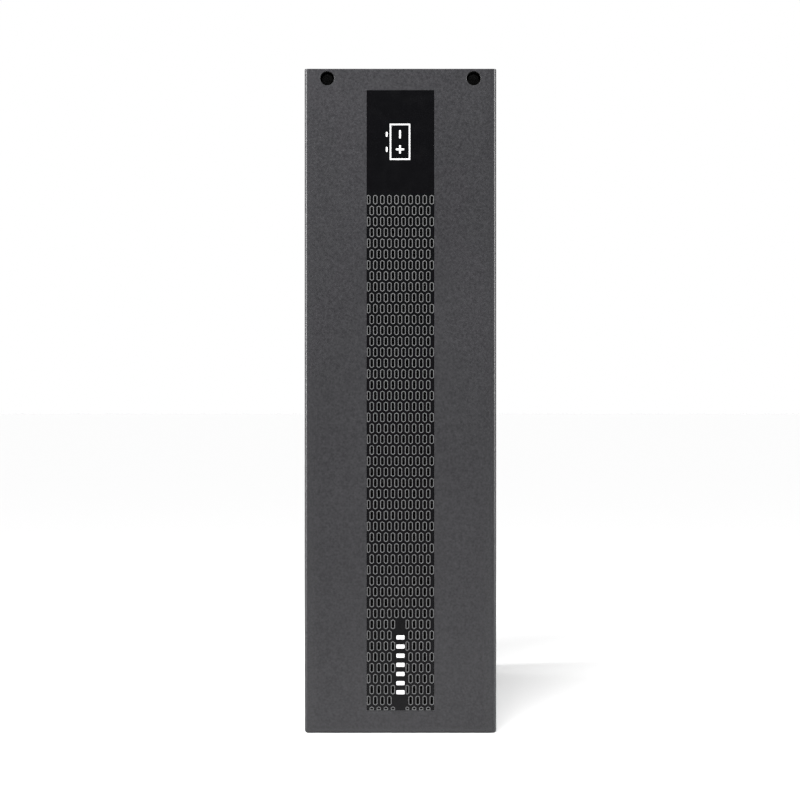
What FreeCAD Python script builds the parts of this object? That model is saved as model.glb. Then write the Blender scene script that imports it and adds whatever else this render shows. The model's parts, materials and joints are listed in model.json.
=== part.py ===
import FreeCAD
import Part
import math
import os

# Rack/tower battery module: a 3U sheet-steel case, standing on end, with two battery trays behind a moulded
# front cover.
#
# Frame: millimetres, +Z up, front towards -Y, origin at the middle of the footprint on the floor.
# In a rack the module lies on its +X side, and its -X side is then the top.
# Each function makes one kind of piece. The function nodes at the end gives every piece its file.

V = FreeCAD.Vector

# ---------------------------------------------------------------- driving dimensions
WIDTH = 127.0  # X, fits a 3U slot
HEIGHT = 440.0  # Z, the body width of 19 inch equipment
DEPTH = 594.0  # Y, over the rear sockets
SHEET = 1.2  # case steel
BEND = 2.4  # outer radius of the case's folds
GAP = 0.4  # running gap between separate pieces
CONTACT = 0.05  # hairline gap between pieces that are clamped together

COVER_DEPTH = 24.0
COVER_WALL = 2.5
SOCKET_PROUD = 14.0  # how far the output sockets stand out of the rear panel

FRONT = -DEPTH / 2
REAR = DEPTH / 2
SIDE = WIDTH / 2
CASE_FRONT = FRONT + COVER_DEPTH
CASE_REAR = REAR - SOCKET_PROUD
COVER_BACK = CASE_FRONT - GAP
COVER_INNER = FRONT + COVER_WALL  # back of the cover's front wall
INNER_X = SIDE - SHEET
INNER_TOP = HEIGHT - SHEET
MIDDLE = HEIGHT / 2

# front cover
EDGE_ROUND = 2.8  # long front edges
CROWN_START = 54.0  # where the flat front begins to curve back towards its long edges
CROWN_R = 30.0
FOOT_ROUND = 4.6  # bottom front edge
BROW_ROUND = 0.6  # top front edge
FOOT_CORNER = 2.6  # bottom corners, seen from the front
BROW_CORNER = 0.8
SCREW_X = 48.5
SCREW_Z = HEIGHT - 6.3
SCREW_WELL_R = 4.6
SCREW_WELL_FLOOR = FRONT + 16.0
SCREW_BOSS_R = 6.4
WELL_EASE = 0.3
COVER_SCREW_BORE = 1.8
COVER_SCREW_NECK_R = 1.5  # narrower than the thread, so an undone screw stays in the cover
COVER_SCREW_HEAD_R = 3.6
COVER_SCREW_HEAD = 3.0
PEG_X = 40.0
PEG_Z = 8.0
PEG_R = 2.8
PEG_STEM_R = 4.5
PEG_TIP_R = 1.6
PEG_TAPER = 4.0
PEG_Y = CASE_FRONT + 3.0
RIB = 1.5
RIB_X = 32.0
RIB_DEEP = 9.0
RIB_SHALLOW = 7.0
RIB_BAYS = 7

# grille strip
STRIP_W = 44.6
STRIP_TOP = HEIGHT - 14.3
STRIP_BOTTOM = 15.3
STRIP_FACE = FRONT + 0.15
STRIP_BACK = FRONT + 3.6
WINDOW_GAP = 0.1
STRIP_FLANGE = 3.6  # how far the strip's flange reaches behind the cover's wall
CELL_W = 2.7
CELL_H = 6.35
CELL_PITCH = 4.676
ROW_PITCH = 7.207
FIRST_ROW = STRIP_TOP - 72.4
ROWS = 48
RIM = 0.36  # width of the light rim round each opening
RIM_DEPTH = 1.2
STRIP_MARGIN = 0.15
PATTERN_X = -0.3  # openings and battery symbol sit a little left of the strip's middle
CLEAR_FROM_ROW = 39  # rows from here down leave the middle clear for the level mark
CLEAR_HALF = 3.5
SMALLEST_CELL = 0.4  # narrower openings than this are left out

FILTER = 3.0  # foam thickness
FILTER_TOP = STRIP_TOP - 66.0
RETAINER = 1.6
RETAINER_BAR = 3.0
RETAINER_BAYS = 6

# printed marks on the strip
INK = 0.1
MARK_ROUND = 0.5
SIGN_ROUND = 0.5
SYMBOL_Z = STRIP_TOP - 34.1
SYMBOL_W = 13.5
SYMBOL_H = 23.9
SYMBOL_STROKE = 0.9
SIGN = 5.5  # length of the plus and minus strokes
SIGN_STROKE = 1.2
SIGN_OFFSET = 5.0
TERMINAL_X = PATTERN_X - 8.8
TERMINAL_W = 1.1
TERMINAL_H = 3.3
BAR_COUNT = 7
BAR_W = 5.4
BAR_H = 2.7
BAR_PITCH = 6.05
BAR_MIDDLE_Z = 45.4

# fasteners, M4 and M3
M4_R = 1.95
M4_BORE = 2.05
SCREW_GAP = 0.1  # between a screw and the hole it passes through
M3_R = 1.45
NUT_BODY_R = 3.5
NUT_SHANK_R = 2.65
NUT_H = 3.0
EAR_X = 38.1
EAR_Y = (CASE_FRONT + 15.0, CASE_FRONT + 45.0)
LID_SCREW_X = -56.5
LID_SCREW_Y = (-250.0, -90.0, 90.0, 250.0)

# case
SEAM_X = -49.5  # where the lid's outer flange ends
LIP_INSIDE = 10.0
FRONT_FLANGE = 14.0
REAR_FLANGE = 10.0
PANEL_FRONT = CASE_REAR - SHEET  # inner face of the rear panel

DIVIDER_X = -55.0
SLOTS = 5
SLOT_PITCH = 90.0
SLOT_HALF = 7.0
SLOT_LENGTH = 50.0
GUIDE_X = (22.0, 60.0)  # channel guides
GUIDE_STRIP_X = (30.0, 50.0)
FLOOR_STRIP_Z = (30.0, 180.0)
FLOOR_STRIP_W = 20.0

# trays: values for the lower one; the upper one is its mirror image about the middle
TRAY_SHEET = 1.0
TRAY_LOW = 16.0
TRAY_HIGH = 216.0
TRAY_FRONT = CASE_FRONT + 13.0
TRAY_REAR = TRAY_FRONT + 457.0
TRAY_FLOOR_X = 61.0
TRAY_LIP_X = -34.0
TAB_HALF = 34.0
TAB_TIP_Z = 4.0
THUMB_X = 22.0
THUMB_Z = 8.6
THUMB_R = 5.0
THUMB_HEAD = 7.0
FLUTES = 12
HANDLE_X = 10.0
HANDLE_HALF = 45.0
HANDLE_ROD = 3.0
HANDLE_REACH = 25.0

# batteries, 12 V 9 Ah blocks lying on their sides
BLOCK_L = 151.0  # Y
BLOCK_W = 65.0  # Z
BLOCK_H = 94.0  # X
BLOCK_LID = 9.0
JAR_WALL = 2.5
PACK_H = 68.0
PACK_HALF = 7.3
BLOCK_GAP = 0.3
STRAP = 0.8
STRAP_W = 16.0
TAB_OFFSET_Z = 20.0
TAB_FROM_END = 10.0
SLEEVE_TOP_X = -46.0
LINK_R = 2.0
CELLS = 6
FUSE_Y0 = 92.0
FUSE_LENGTH = 70.0
FUSE_R = 8.0

# rear
BULKHEAD_Y = 208.0
BULKHEAD_X = -45.0  # its free edge, beside the lid
AIR_WINDOW = (27.0, 18.0)
AIR_WINDOW_X = 5.0
AIR_WINDOW_Z = (50.0, 105.0)
PLUG_X = 13.0
PLUG_Z = 181.3
PIN_OFFSET = 10.0
BREAKER_Z = 120.0
BREAKER_HALF = 18.0
POLE = 9.0  # each pole's distance from the breaker's middle
CLAMP_Y = 245.0
TOGGLE_Y = CASE_REAR - 2.0
NOSE_FACE = CASE_REAR + 5.0
BREAKER_BACK = 222.0
BREAKER_SIDE = 42.5
BREAKER_NOSE = 22.5
CLAMP_X = 34.0
CLAMP_R = 3.2
RAIL_FACE = BREAKER_BACK + 7.3
RAIL_HALF = 17.5
RAIL_SHEET = 1.0
RAIL_LENGTH = 60.0
HAT_HALF = 13.5
HUB_R = 7.0
DRUM_HALF = 13.0
WINDOW_HALF = 10.8
PIVOT_R = 1.98
PIVOT_REACH = 2.0
LEVER_ROOT = 3.6
LEVER_TIP = 2.2
TIE_INSET = 6.0
LEVER_LENGTH = 15.5
LEVER_TILT = 40.0  # degrees towards +X with the breaker off
SOCKET_Z = (296.0, 376.0)
SOCKET_HALF_Z = 27.0
SOCKET_HALF_X = 19.0
FLANGE = 3.0
FLANGE_HALF_X = 24.0
FLANGE_HALF_Z = 38.0
CONTACT_NEAR = 0.4  # a flat contact's faces, measured from its cavity's +X wall
CONTACT_FAR = 3.6
CONTACT_HALF = 7.0
CAVITY = 18.0
CAVITY_OFFSET = 12.5
CAVITY_FLOOR = REAR - 25.0
LUG_Y = CAVITY_FLOOR - 24.0
LUG_SPLIT = 3.2
PORT_Z = (222.0, 242.0)
PORT_X = -25.0
PORT_HALF_X = 6.5
PORT_HALF_Z = 7.8
PORT_DEPTH = 15.0
PORT_PROUD = 0.8
MOUTH_HALF_X = 4.2
MOUTH_HALF_Z = 5.9
MOUTH_DEPTH = 11.0
LATCH_X = 5.6
LATCH_HALF = 3.0
LATCH_DEPTH = 8.0
BOARD = 1.6
BOARD_Y = (CASE_REAR - 42.0, CASE_REAR - 3.0)
BOARD_MARGIN = 14.0  # how far it reaches past the jacks' centres
STUD_X = 42.0
STUD_Z = 27.0
STUD_R = 2.5
STUD_FREE = 7.2
STUD_END = 1.4  # how far its end stays short of the sockets' faces
STUD_ROOT_R = 2.1
STUD_HEAD = 2.0
STUD_NUT = 4.0
NUT_FLATS = 8.0
WASHER_R = 5.0
EARTH_LUG_Y = 230.0
VENT_R = 2.2
VENT_FIELDS = ((46.0, 6), (150.0, 8))  # lowest row, number of rows
VENT_PITCH = 7.5
WIRE_R = 2.5
WIRE_END = 38.0  # where wires end inside the breaker's clamps
RED_SIDE = 50.0  # how far out the red and the black wires run beside the breaker
BLACK_SIDE = 57.0
BEHIND_BULKHEAD = BULKHEAD_Y + 15.0
JUMPER_SWING = 23.0
JUMPER_BACK = 16.0


# ---------------------------------------------------------------- helpers
def box(x0, x1, y0, y1, z0, z1):
    """Box between two corners, given as limits."""
    return Part.makeBox(x1 - x0, y1 - y0, z1 - z0, V(x0, y0, z0))


def rod(start, end, radius):
    """Cylinder from one point to another."""
    start, end = V(*start), V(*end)
    return Part.makeCylinder(radius, (end - start).Length, start, end - start)


def cone(start, end, r_start, r_end):
    start, end = V(*start), V(*end)
    return Part.makeCone(r_start, r_end, (end - start).Length, start, end - start)


def fused(shapes):
    """One solid from several that meet or overlap."""
    first, *others = shapes
    return first.fuse(others).removeSplitter() if others else first


def mirrored_up(shape):
    """The same piece for the upper half of the case."""
    return shape.mirror(V(0, 0, MIDDLE), V(0, 0, 1))


def both_ends(shape):
    return [shape, mirrored_up(shape)]


def rounded_outline(corners, radii):
    """Closed wire through corner points, each corner rounded by its own radius (0 leaves it sharp)."""
    points = [V(*c) for c in corners]
    edges, ends = [], []
    for i, point in enumerate(points):
        to_last = (points[i - 1] - point).normalize()
        to_next = (points[(i + 1) % len(points)] - point).normalize()
        half = to_last.getAngle(to_next) / 2
        cut = radii[i] / math.tan(half)
        start, end = point + to_last * cut, point + to_next * cut
        if radii[i] > 0:
            middle_way = (to_last + to_next).normalize()
            centre = point + middle_way * (radii[i] / math.sin(half))
            edges.append(Part.Arc(start, centre - middle_way * radii[i], end).toShape())
        ends.append((start, end))
    for i, (_, end) in enumerate(ends):
        start = ends[(i + 1) % len(ends)][0]
        if (start - end).Length > 1e-6:
            edges.append(Part.LineSegment(end, start).toShape())
    return Part.Wire(Part.__sortEdges__(edges))


def prism(corners, radii, sweep):
    """Solid made by moving a rounded outline along a vector."""
    return Part.Face(rounded_outline(corners, radii)).extrude(V(*sweep))


def rounded_block(x0, x1, y0, y1, z0, z1, radius):
    """Box with its four edges along Y rounded."""
    corners = [(x0, y0, z0), (x1, y0, z0), (x1, y0, z1), (x0, y0, z1)]
    return prism(corners, [radius] * 4, (0, y1 - y0, 0))


def wire_run(points, radius, first=0.9, last=0.9):
    """Round wire along straight runs joined by tangent arcs, each arc as large as its two runs allow.

    first and last are the shares of the end runs that their arcs may take up.
    """
    pts = [V(*p) for p in points]
    runs = [(b - a).Length for a, b in zip(pts, pts[1:])]
    share = [0.45] * len(runs)
    share[0], share[-1] = first, last
    edges, here = [], pts[0]
    for i in range(1, len(pts) - 1):
        back = (pts[i - 1] - pts[i]).normalize()
        on = (pts[i + 1] - pts[i]).normalize()
        half = back.getAngle(on) / 2
        cut = min(runs[i - 1] * share[i - 1], runs[i] * share[i])
        arc_r = cut * math.tan(half)
        way = (back + on).normalize()
        centre = pts[i] + way * (arc_r / math.sin(half))
        start, end = pts[i] + back * cut, pts[i] + on * cut
        edges.append(Part.LineSegment(here, start).toShape())
        edges.append(Part.Arc(start, centre - way * arc_r, end).toShape())
        here = end
    edges.append(Part.LineSegment(here, pts[-1]).toShape())
    spine = Part.Wire(edges)
    direction = pts[1] - pts[0]
    ring = Part.Wire(Part.makeCircle(radius, pts[0], direction))
    tube = spine.makePipeShell([ring], True, True)
    expected = math.pi * radius**2 * spine.Length
    assert abs(tube.Volume / expected - 1) < 0.01, (points, tube.Volume, expected)
    return tube


# ---------------------------------------------------------------- front cover
def crowned_outline():
    """Cover seen from above: a flat front that curves back a little before its rounded long edges."""
    edges, fronts, backs = [], [], []
    reach = SIDE - EDGE_ROUND - CROWN_START
    edge_y = FRONT + CROWN_R - math.sqrt((CROWN_R - EDGE_ROUND) ** 2 - reach**2)
    lean = math.asin(reach / (CROWN_R - EDGE_ROUND))
    for side in (-1, 1):

        def on_arc(centre_x, centre_y, radius, angle):
            return V(side * (centre_x + radius * math.sin(angle)), centre_y - radius * math.cos(angle), 0)

        crown = [on_arc(CROWN_START, FRONT + CROWN_R, CROWN_R, a) for a in (0, lean / 2, lean)]
        middle = (lean + math.pi / 2) / 2
        edge = [on_arc(SIDE - EDGE_ROUND, edge_y, EDGE_ROUND, a) for a in (middle, math.pi / 2)]
        back = V(side * SIDE, COVER_BACK, 0)
        edges.append(Part.Arc(*crown).toShape())
        edges.append(Part.Arc(crown[-1], *edge).toShape())
        edges.append(Part.LineSegment(edge[-1], back).toShape())
        fronts.append(crown[0])
        backs.append(back)
    edges.append(Part.LineSegment(*fronts).toShape())
    edges.append(Part.LineSegment(*backs).toShape())
    return Part.Wire(Part.__sortEdges__(edges))


def cover_envelope():
    """Outer form of the cover: three prisms that share one volume."""
    seen_from_front = prism(
        [(-SIDE, FRONT, 0), (SIDE, FRONT, 0), (SIDE, FRONT, HEIGHT), (-SIDE, FRONT, HEIGHT)],
        [FOOT_CORNER, FOOT_CORNER, BROW_CORNER, BROW_CORNER],
        (0, COVER_BACK - FRONT, 0),
    )
    seen_from_above = Part.Face(crowned_outline()).extrude(V(0, 0, HEIGHT))
    seen_from_side = prism(
        [(-SIDE, FRONT, 0), (-SIDE, COVER_BACK, 0), (-SIDE, COVER_BACK, HEIGHT), (-SIDE, FRONT, HEIGHT)],
        [FOOT_ROUND, 0, 0, BROW_ROUND],
        (WIDTH, 0, 0),
    )
    return seen_from_front.common(seen_from_above).common(seen_from_side)


def cover_ribs():
    """Stiffening ribs behind the cover's front wall, clear of the tray handles."""
    ribs = []
    for side in (-1, 1):
        x = side * RIB_X
        low, high = STRIP_BOTTOM - RIB, STRIP_TOP - RIB
        ribs.append(box(x - RIB / 2, x + RIB / 2, COVER_INNER, COVER_INNER + RIB_DEEP, low, high))
        inner, outer = sorted((x, side * (SIDE - COVER_WALL)))
        for k in range(1, RIB_BAYS):
            z = k * HEIGHT / RIB_BAYS
            ribs.append(box(inner, outer, COVER_INNER, COVER_INNER + RIB_SHALLOW, z - RIB / 2, z + RIB / 2))
    return ribs


def cover_peg(x):
    """Locating peg at the cover's foot: a stem behind the wall, and a tapered nose that enters the case."""
    tip = PEG_Y + PEG_TAPER
    return [
        rod((x, COVER_INNER, PEG_Z), (x, COVER_BACK, PEG_Z), PEG_STEM_R),
        rod((x, COVER_BACK, PEG_Z), (x, PEG_Y, PEG_Z), PEG_R),
        cone((x, PEG_Y, PEG_Z), (x, tip, PEG_Z), PEG_R, PEG_TIP_R),
    ]


def screw_well(x):
    """Cuts for one cover screw: a wide well with an eased mouth, and a clearance hole through its floor."""
    mouth = SCREW_WELL_R + WELL_EASE
    return [
        rod((x, FRONT - 1, SCREW_Z), (x, SCREW_WELL_FLOOR, SCREW_Z), SCREW_WELL_R),
        rod((x, SCREW_WELL_FLOOR, SCREW_Z), (x, COVER_BACK + 1, SCREW_Z), COVER_SCREW_BORE),
        cone((x, FRONT - 0.01, SCREW_Z), (x, FRONT + WELL_EASE, SCREW_Z), mouth, SCREW_WELL_R),
    ]


def front_cover_shell():
    """Moulded cover with its ribs, screw bosses, pegs and the window for the grille strip."""
    envelope = cover_envelope()
    wall = COVER_WALL
    cavity = box(-SIDE + wall, SIDE - wall, COVER_INNER, COVER_BACK + 1, wall, HEIGHT - wall)
    additions = cover_ribs() + cover_peg(-PEG_X) + cover_peg(PEG_X)
    for x in (-SCREW_X, SCREW_X):
        boss = rod((x, COVER_INNER, SCREW_Z), (x, COVER_BACK, SCREW_Z), SCREW_BOSS_R)
        additions.append(boss.common(envelope))
    shell = fused([envelope.cut(cavity), *additions])
    half, low, high = STRIP_W / 2 + WINDOW_GAP, STRIP_BOTTOM - WINDOW_GAP, STRIP_TOP + WINDOW_GAP
    window = box(-half, half, FRONT - 1, COVER_INNER + 0.01, low, high)
    return shell.cut([window, *screw_well(-SCREW_X), *screw_well(SCREW_X)])


def clip(polygon, keep):
    """Part of a convex polygon where keep(point) is positive. keep is linear in x and z."""
    result = []
    for a, b in zip(polygon, polygon[1:] + polygon[:1]):
        ka, kb = keep(a), keep(b)
        if ka >= 0:
            result.append(a)
        if ka * kb < 0:
            t = ka / (ka - kb)
            result.append((a[0] + t * (b[0] - a[0]), a[1] + t * (b[1] - a[1])))
    return result


def hexagon(x, z, margin):
    """Upright long hexagon with 120 degree points, anticlockwise, drawn in by a margin."""
    half_w = CELL_W / 2 - margin
    half_h = CELL_H / 2 - margin / math.cos(math.radians(30))
    shoulder = half_h - half_w * math.tan(math.radians(30))
    return [
        (x + half_w, z - shoulder),
        (x + half_w, z + shoulder),
        (x, z + half_h),
        (x - half_w, z + shoulder),
        (x - half_w, z - shoulder),
        (x, z - half_h),
    ]


def cell_outline(x, z, row, margin):
    """One opening, trimmed to the strip's edges and to the level mark, drawn in by a margin."""
    edge = STRIP_W / 2 - STRIP_MARGIN - margin
    floor = STRIP_BOTTOM + STRIP_MARGIN + margin
    cell = hexagon(x, z, margin)
    cell = clip(cell, lambda p: edge - p[0])
    cell = clip(cell, lambda p: edge + p[0])
    cell = clip(cell, lambda p: p[1] - floor)
    if row >= CLEAR_FROM_ROW:
        side = 1 if x > 0 else -1
        cell = clip(cell, lambda p: side * p[0] - CLEAR_HALF - margin)
    return cell


def span(cell):
    """Width of an outline, nothing if it has been trimmed away."""
    return max(p[0] for p in cell) - min(p[0] for p in cell) if len(cell) > 2 else 0.0


def grille_cells():
    """(outer, inner) outline of every opening's rim, in rows of ten and nine by turns."""
    cells = []
    for row in range(ROWS):
        z = FIRST_ROW - row * ROW_PITCH
        offsets = [k + 0.5 for k in range(-5, 5)] if row % 2 == 0 else range(-4, 5)
        for k in offsets:
            x = PATTERN_X + k * CELL_PITCH
            outer, inner = (cell_outline(x, z, row, margin) for margin in (0, RIM))
            if span(inner) > SMALLEST_CELL:
                cells.append((outer, inner))
    return cells


def cell_wire(cell, y):
    return Part.makePolygon([V(x, y, z) for x, z in cell + cell[:1]])


def holed_face(outline, holes):
    """Flat face with holes, whichever way its outlines run."""
    return Part.makeFace([outline, *holes], "Part::FaceMakerBullseye")


def strip_outline(margin, y):
    half = STRIP_W / 2 + margin
    low, high = STRIP_BOTTOM - margin, STRIP_TOP + margin
    corners = ((-half, low), (half, low), (half, high), (-half, high), (-half, low))
    return Part.makePolygon([V(x, y, z) for x, z in corners])


def front_grille():
    """Black strip with an opening for every cell, and a flange behind the cover's wall."""
    holes = [cell_wire(outer, STRIP_FACE) for outer, _ in grille_cells()]
    face = holed_face(strip_outline(0, STRIP_FACE), holes)
    plate = face.extrude(V(0, STRIP_BACK - STRIP_FACE, 0))
    ring = holed_face(strip_outline(STRIP_FLANGE, COVER_INNER), [strip_outline(0, COVER_INNER)])
    return plate.fuse(ring.extrude(V(0, STRIP_BACK - COVER_INNER, 0)))


def grille_rims():
    """Light rim lining each opening, moulded in and level with the strip's face."""
    rims = []
    for outer, inner in grille_cells():
        face = holed_face(cell_wire(outer, STRIP_FACE), [cell_wire(inner, STRIP_FACE)])
        rims.append(face.extrude(V(0, RIM_DEPTH, 0)))
    return rims


def ink_patch(x0, x1, z0, z1, radius=0.0):
    """Thin layer of print on the strip's face."""
    corners = [(x0, STRIP_FACE, z0), (x1, STRIP_FACE, z0), (x1, STRIP_FACE, z1), (x0, STRIP_FACE, z1)]
    return prism(corners, [radius] * 4, (0, -INK, 0))


def front_marks():
    """Battery symbol at the top of the strip and seven level bars at its foot."""
    half_w, half_h = SYMBOL_W / 2, SYMBOL_H / 2
    t, s, g = SYMBOL_STROKE, SIGN_STROKE / 2, SIGN / 2
    middle = PATTERN_X
    frame = ink_patch(middle - half_w, middle + half_w, SYMBOL_Z - half_h, SYMBOL_Z + half_h)
    low, high = SYMBOL_Z - half_h + t, SYMBOL_Z + half_h - t
    left, right = middle - half_w + t, middle + half_w - t
    window = box(left, right, STRIP_FACE - 1, STRIP_FACE + 1, low, high)
    marks = [frame.cut(window)]
    for z in (SYMBOL_Z + SIGN_OFFSET, SYMBOL_Z - SIGN_OFFSET):
        x0, x1 = TERMINAL_X - TERMINAL_W / 2, TERMINAL_X + TERMINAL_W / 2
        marks.append(ink_patch(x0, x1, z - TERMINAL_H / 2, z + TERMINAL_H / 2, MARK_ROUND))
    minus_z, plus_z = SYMBOL_Z + SIGN_OFFSET, SYMBOL_Z - SIGN_OFFSET
    marks.append(ink_patch(middle - s, middle + s, minus_z - g, minus_z + g, SIGN_ROUND))
    upright = ink_patch(middle - s, middle + s, plus_z - g, plus_z + g, SIGN_ROUND)
    level = ink_patch(middle - g, middle + g, plus_z - s, plus_z + s, SIGN_ROUND)
    marks.append(fused([upright, level]))
    for k in range(BAR_COUNT):
        z = BAR_MIDDLE_Z + (k - (BAR_COUNT - 1) / 2) * BAR_PITCH
        marks.append(ink_patch(-BAR_W / 2, BAR_W / 2, z - BAR_H / 2, z + BAR_H / 2, MARK_ROUND))
    return marks


def dust_filter():
    """Foam pad pressed against the back of the strip's openings."""
    half = STRIP_W / 2 + 1
    return box(-half, half, STRIP_BACK, STRIP_BACK + FILTER, STRIP_BOTTOM - 1, FILTER_TOP)


def filter_retainer():
    """Ladder frame that presses the filter against the strip."""
    half, bar = STRIP_W / 2 + RETAINER_BAR - 0.5, RETAINER_BAR
    low, high = STRIP_BOTTOM - RETAINER_BAR + 0.5, FILTER_TOP + 2
    y0, y1 = STRIP_BACK + FILTER, STRIP_BACK + FILTER + RETAINER
    frame = box(-half, half, y0, y1, low, high)
    step = (high - low - bar) / RETAINER_BAYS
    windows = [
        box(-half + bar, half - bar, y0 - 1, y1 + 1, low + bar + k * step, low + (k + 1) * step)
        for k in range(RETAINER_BAYS)
    ]
    return frame.cut(windows)


def cover_screws():
    """Captive screws at the foot of the two wells, with necks that run in the cover's holes."""
    screws = []
    for x in (-SCREW_X, SCREW_X):
        head_top = SCREW_WELL_FLOOR - COVER_SCREW_HEAD
        head = rod((x, head_top, SCREW_Z), (x, SCREW_WELL_FLOOR, SCREW_Z), COVER_SCREW_HEAD_R)
        thread_start = COVER_BACK + SCREW_GAP
        neck = rod((x, SCREW_WELL_FLOOR, SCREW_Z), (x, thread_start, SCREW_Z), COVER_SCREW_NECK_R)
        thread = rod((x, thread_start, SCREW_Z), (x, CASE_FRONT + 11, SCREW_Z), M4_R)
        socket = hex_prism((x, head_top, SCREW_Z), 3.0, (0, 1.8, 0))
        screws.append(fused([head, neck, thread]).cut(socket))
    return screws


def hex_prism(centre, across_flats, sweep):
    """Hexagonal prism standing on a point, along Y or Z."""
    r = across_flats / math.sqrt(3)
    along_y = sweep[1] != 0
    points = []
    for k in range(7):
        a = math.radians(60 * k)
        u, w = r * math.cos(a), r * math.sin(a)
        offset = V(u, 0, w) if along_y else V(u, w, 0)
        points.append(V(*centre) + offset)
    return Part.Face(Part.makePolygon(points)).extrude(V(*sweep))


# ---------------------------------------------------------------- case
def case_tube():
    """The folded outer wall of the whole case, before it is shared between pan and lid."""
    outer = rounded_block(-SIDE, SIDE, CASE_FRONT, CASE_REAR, 0, HEIGHT, BEND)
    inner = rounded_block(-INNER_X, INNER_X, CASE_FRONT - 1, CASE_REAR + 1, SHEET, INNER_TOP, BEND - SHEET)
    return outer.cut(inner)


def lid_screw_places():
    """Centre and outward direction of each countersunk lid screw."""
    return [(y, z, up) for y in LID_SCREW_Y for z, up in ((HEIGHT, 1), (0.0, -1))]


def ear_places():
    """Where clinch nuts take the rack ears, on the end walls near the front."""
    places = []
    for x in (-EAR_X, EAR_X):
        for y in EAR_Y:
            places.append(((x, y, HEIGHT), (0, 0, 1)))
            places.append(((x, y, 0.0), (0, 0, -1)))
    return places


def front_nut_places():
    """Clinch nuts in the front flanges: two for the cover's screws and two for each tray."""
    places = [((x, CASE_FRONT, SCREW_Z), (0, -1, 0)) for x in (-SCREW_X, SCREW_X)]
    for x in (-THUMB_X, THUMB_X):
        places.append(((x, CASE_FRONT, THUMB_Z), (0, -1, 0)))
        places.append(((x, CASE_FRONT, HEIGHT - THUMB_Z), (0, -1, 0)))
    return places


def nut_seats():
    """Holes for all clinch nuts, to be cut from the sheet."""
    seats = []
    for point, out in ear_places() + front_nut_places():
        p, n = V(*point), V(*out)
        seats.append(rod(p + n, p - n * (SHEET + 1), NUT_SHANK_R + 0.05))
    return seats


def clinch_nuts():
    nuts = []
    for point, out in ear_places() + front_nut_places():
        p, n = V(*point), V(*out)
        inside = p - n * SHEET
        body = rod(inside, inside - n * NUT_H, NUT_BODY_R)
        shank = rod(p, inside, NUT_SHANK_R)
        bore = rod(p + n, inside - n * (NUT_H + 1), M4_BORE)
        nuts.append(body.fuse(shank).cut(bore))
    return nuts


def chassis_pan():
    """Base of the case: right wall, both end walls, and the folded flanges at front and rear."""
    wall = case_tube().common(box(SEAM_X + 0.2, SIDE + 1, CASE_FRONT - 1, CASE_REAR + 1, -1, HEIGHT + 1))
    lip_low = SHEET + 0.2
    riser = SEAM_X + 0.2 + SHEET
    lip_end = SEAM_X - LIP_INSIDE
    pieces = [wall]
    for part in (
        box(lip_end, riser, CASE_FRONT, PANEL_FRONT - 0.2, lip_low, lip_low + SHEET),
        box(SEAM_X + 0.2, riser, CASE_FRONT, PANEL_FRONT - 0.2, 0, lip_low + SHEET),
        box(lip_end + 1, SIDE - 3, CASE_FRONT, CASE_FRONT + SHEET, lip_low, SHEET + FRONT_FLANGE),
        box(riser - SHEET, SIDE - 3, CASE_FRONT, CASE_FRONT + SHEET, 0.5, lip_low),
        box(-45, SIDE - 12, PANEL_FRONT - SHEET, PANEL_FRONT, 0.5, SHEET + REAR_FLANGE),
    ):
        pieces += both_ends(part)
    right_flange = box(
        SIDE - SHEET - REAR_FLANGE, SIDE - 0.5, PANEL_FRONT - SHEET, PANEL_FRONT, 16, HEIGHT - 16
    )
    pan = fused([*pieces, right_flange])
    cuts = nut_seats()
    for x in (-PEG_X, PEG_X):
        cuts.append(rod((x, CASE_FRONT - 1, PEG_Z), (x, CASE_FRONT + SHEET + 1, PEG_Z), PEG_R + 0.4))
    for y, z, up in lid_screw_places():
        cuts.append(rod((LID_SCREW_X, y, z), (LID_SCREW_X, y, z - up * 6), M3_R + 0.05))
    cuts += [hole for side, hole in rear_screw_holes(M3_R + 0.05) if side != "lid"]
    return pan.cut(cuts)


def chassis_lid():
    """Left wall with two short outer flanges that lap over the pan, and a rear flange."""
    wall = case_tube().common(box(-SIDE - 1, SEAM_X - 0.2, CASE_FRONT - 1, CASE_REAR + 1, -1, HEIGHT + 1))
    flange = box(-SIDE + 0.5, -INNER_X + REAR_FLANGE, PANEL_FRONT - SHEET, PANEL_FRONT, 16, HEIGHT - 16)
    lid = wall.fuse(flange)
    cuts = [hole for side, hole in rear_screw_holes(M3_R + 0.05) if side == "lid"]
    for y, z, up in lid_screw_places():
        outside, inside = z + up * SCREW_GAP, z - up * (SHEET + SCREW_GAP)
        cuts.append(cone((LID_SCREW_X, y, outside), (LID_SCREW_X, y, inside), 3.1, 1.65))
    return lid.cut(cuts)


def lid_screws():
    """Countersunk M3 screws with a hexagon socket."""
    screws = []
    for y, z, up in lid_screw_places():
        head = cone((LID_SCREW_X, y, z - up * 0.05), (LID_SCREW_X, y, z - up * SHEET), 2.9, 1.5)
        shank = rod((LID_SCREW_X, y, z - up * SHEET), (LID_SCREW_X, y, z - up * 7), M3_R)
        socket = hex_prism((LID_SCREW_X, y, z), 2.0, (0, 0, -up * 1.0))
        screws.append(head.fuse(shank).cut(socket))
    return screws


def rear_screw_places():
    """(which sheet it bites in, x, z) of the screws round the rear panel."""
    edge_x = INNER_X - REAR_FLANGE / 2
    places = [("pan", x, z) for x in (-30.0, 30.0) for z in (6.5, HEIGHT - 6.5)]
    for z in (60.0, MIDDLE, HEIGHT - 60.0):
        places += [("pan", edge_x, z), ("lid", -edge_x, z)]
    return places


def rear_screw_holes(radius):
    holes = []
    for side, x, z in rear_screw_places():
        holes.append((side, rod((x, CASE_REAR + 1, z), (x, CASE_REAR - 6, z), radius)))
    return holes


def socket_screw_places():
    return [(0.0, z + side * (SOCKET_HALF_Z + 5)) for z in SOCKET_Z for side in (-1, 1)]


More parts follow.
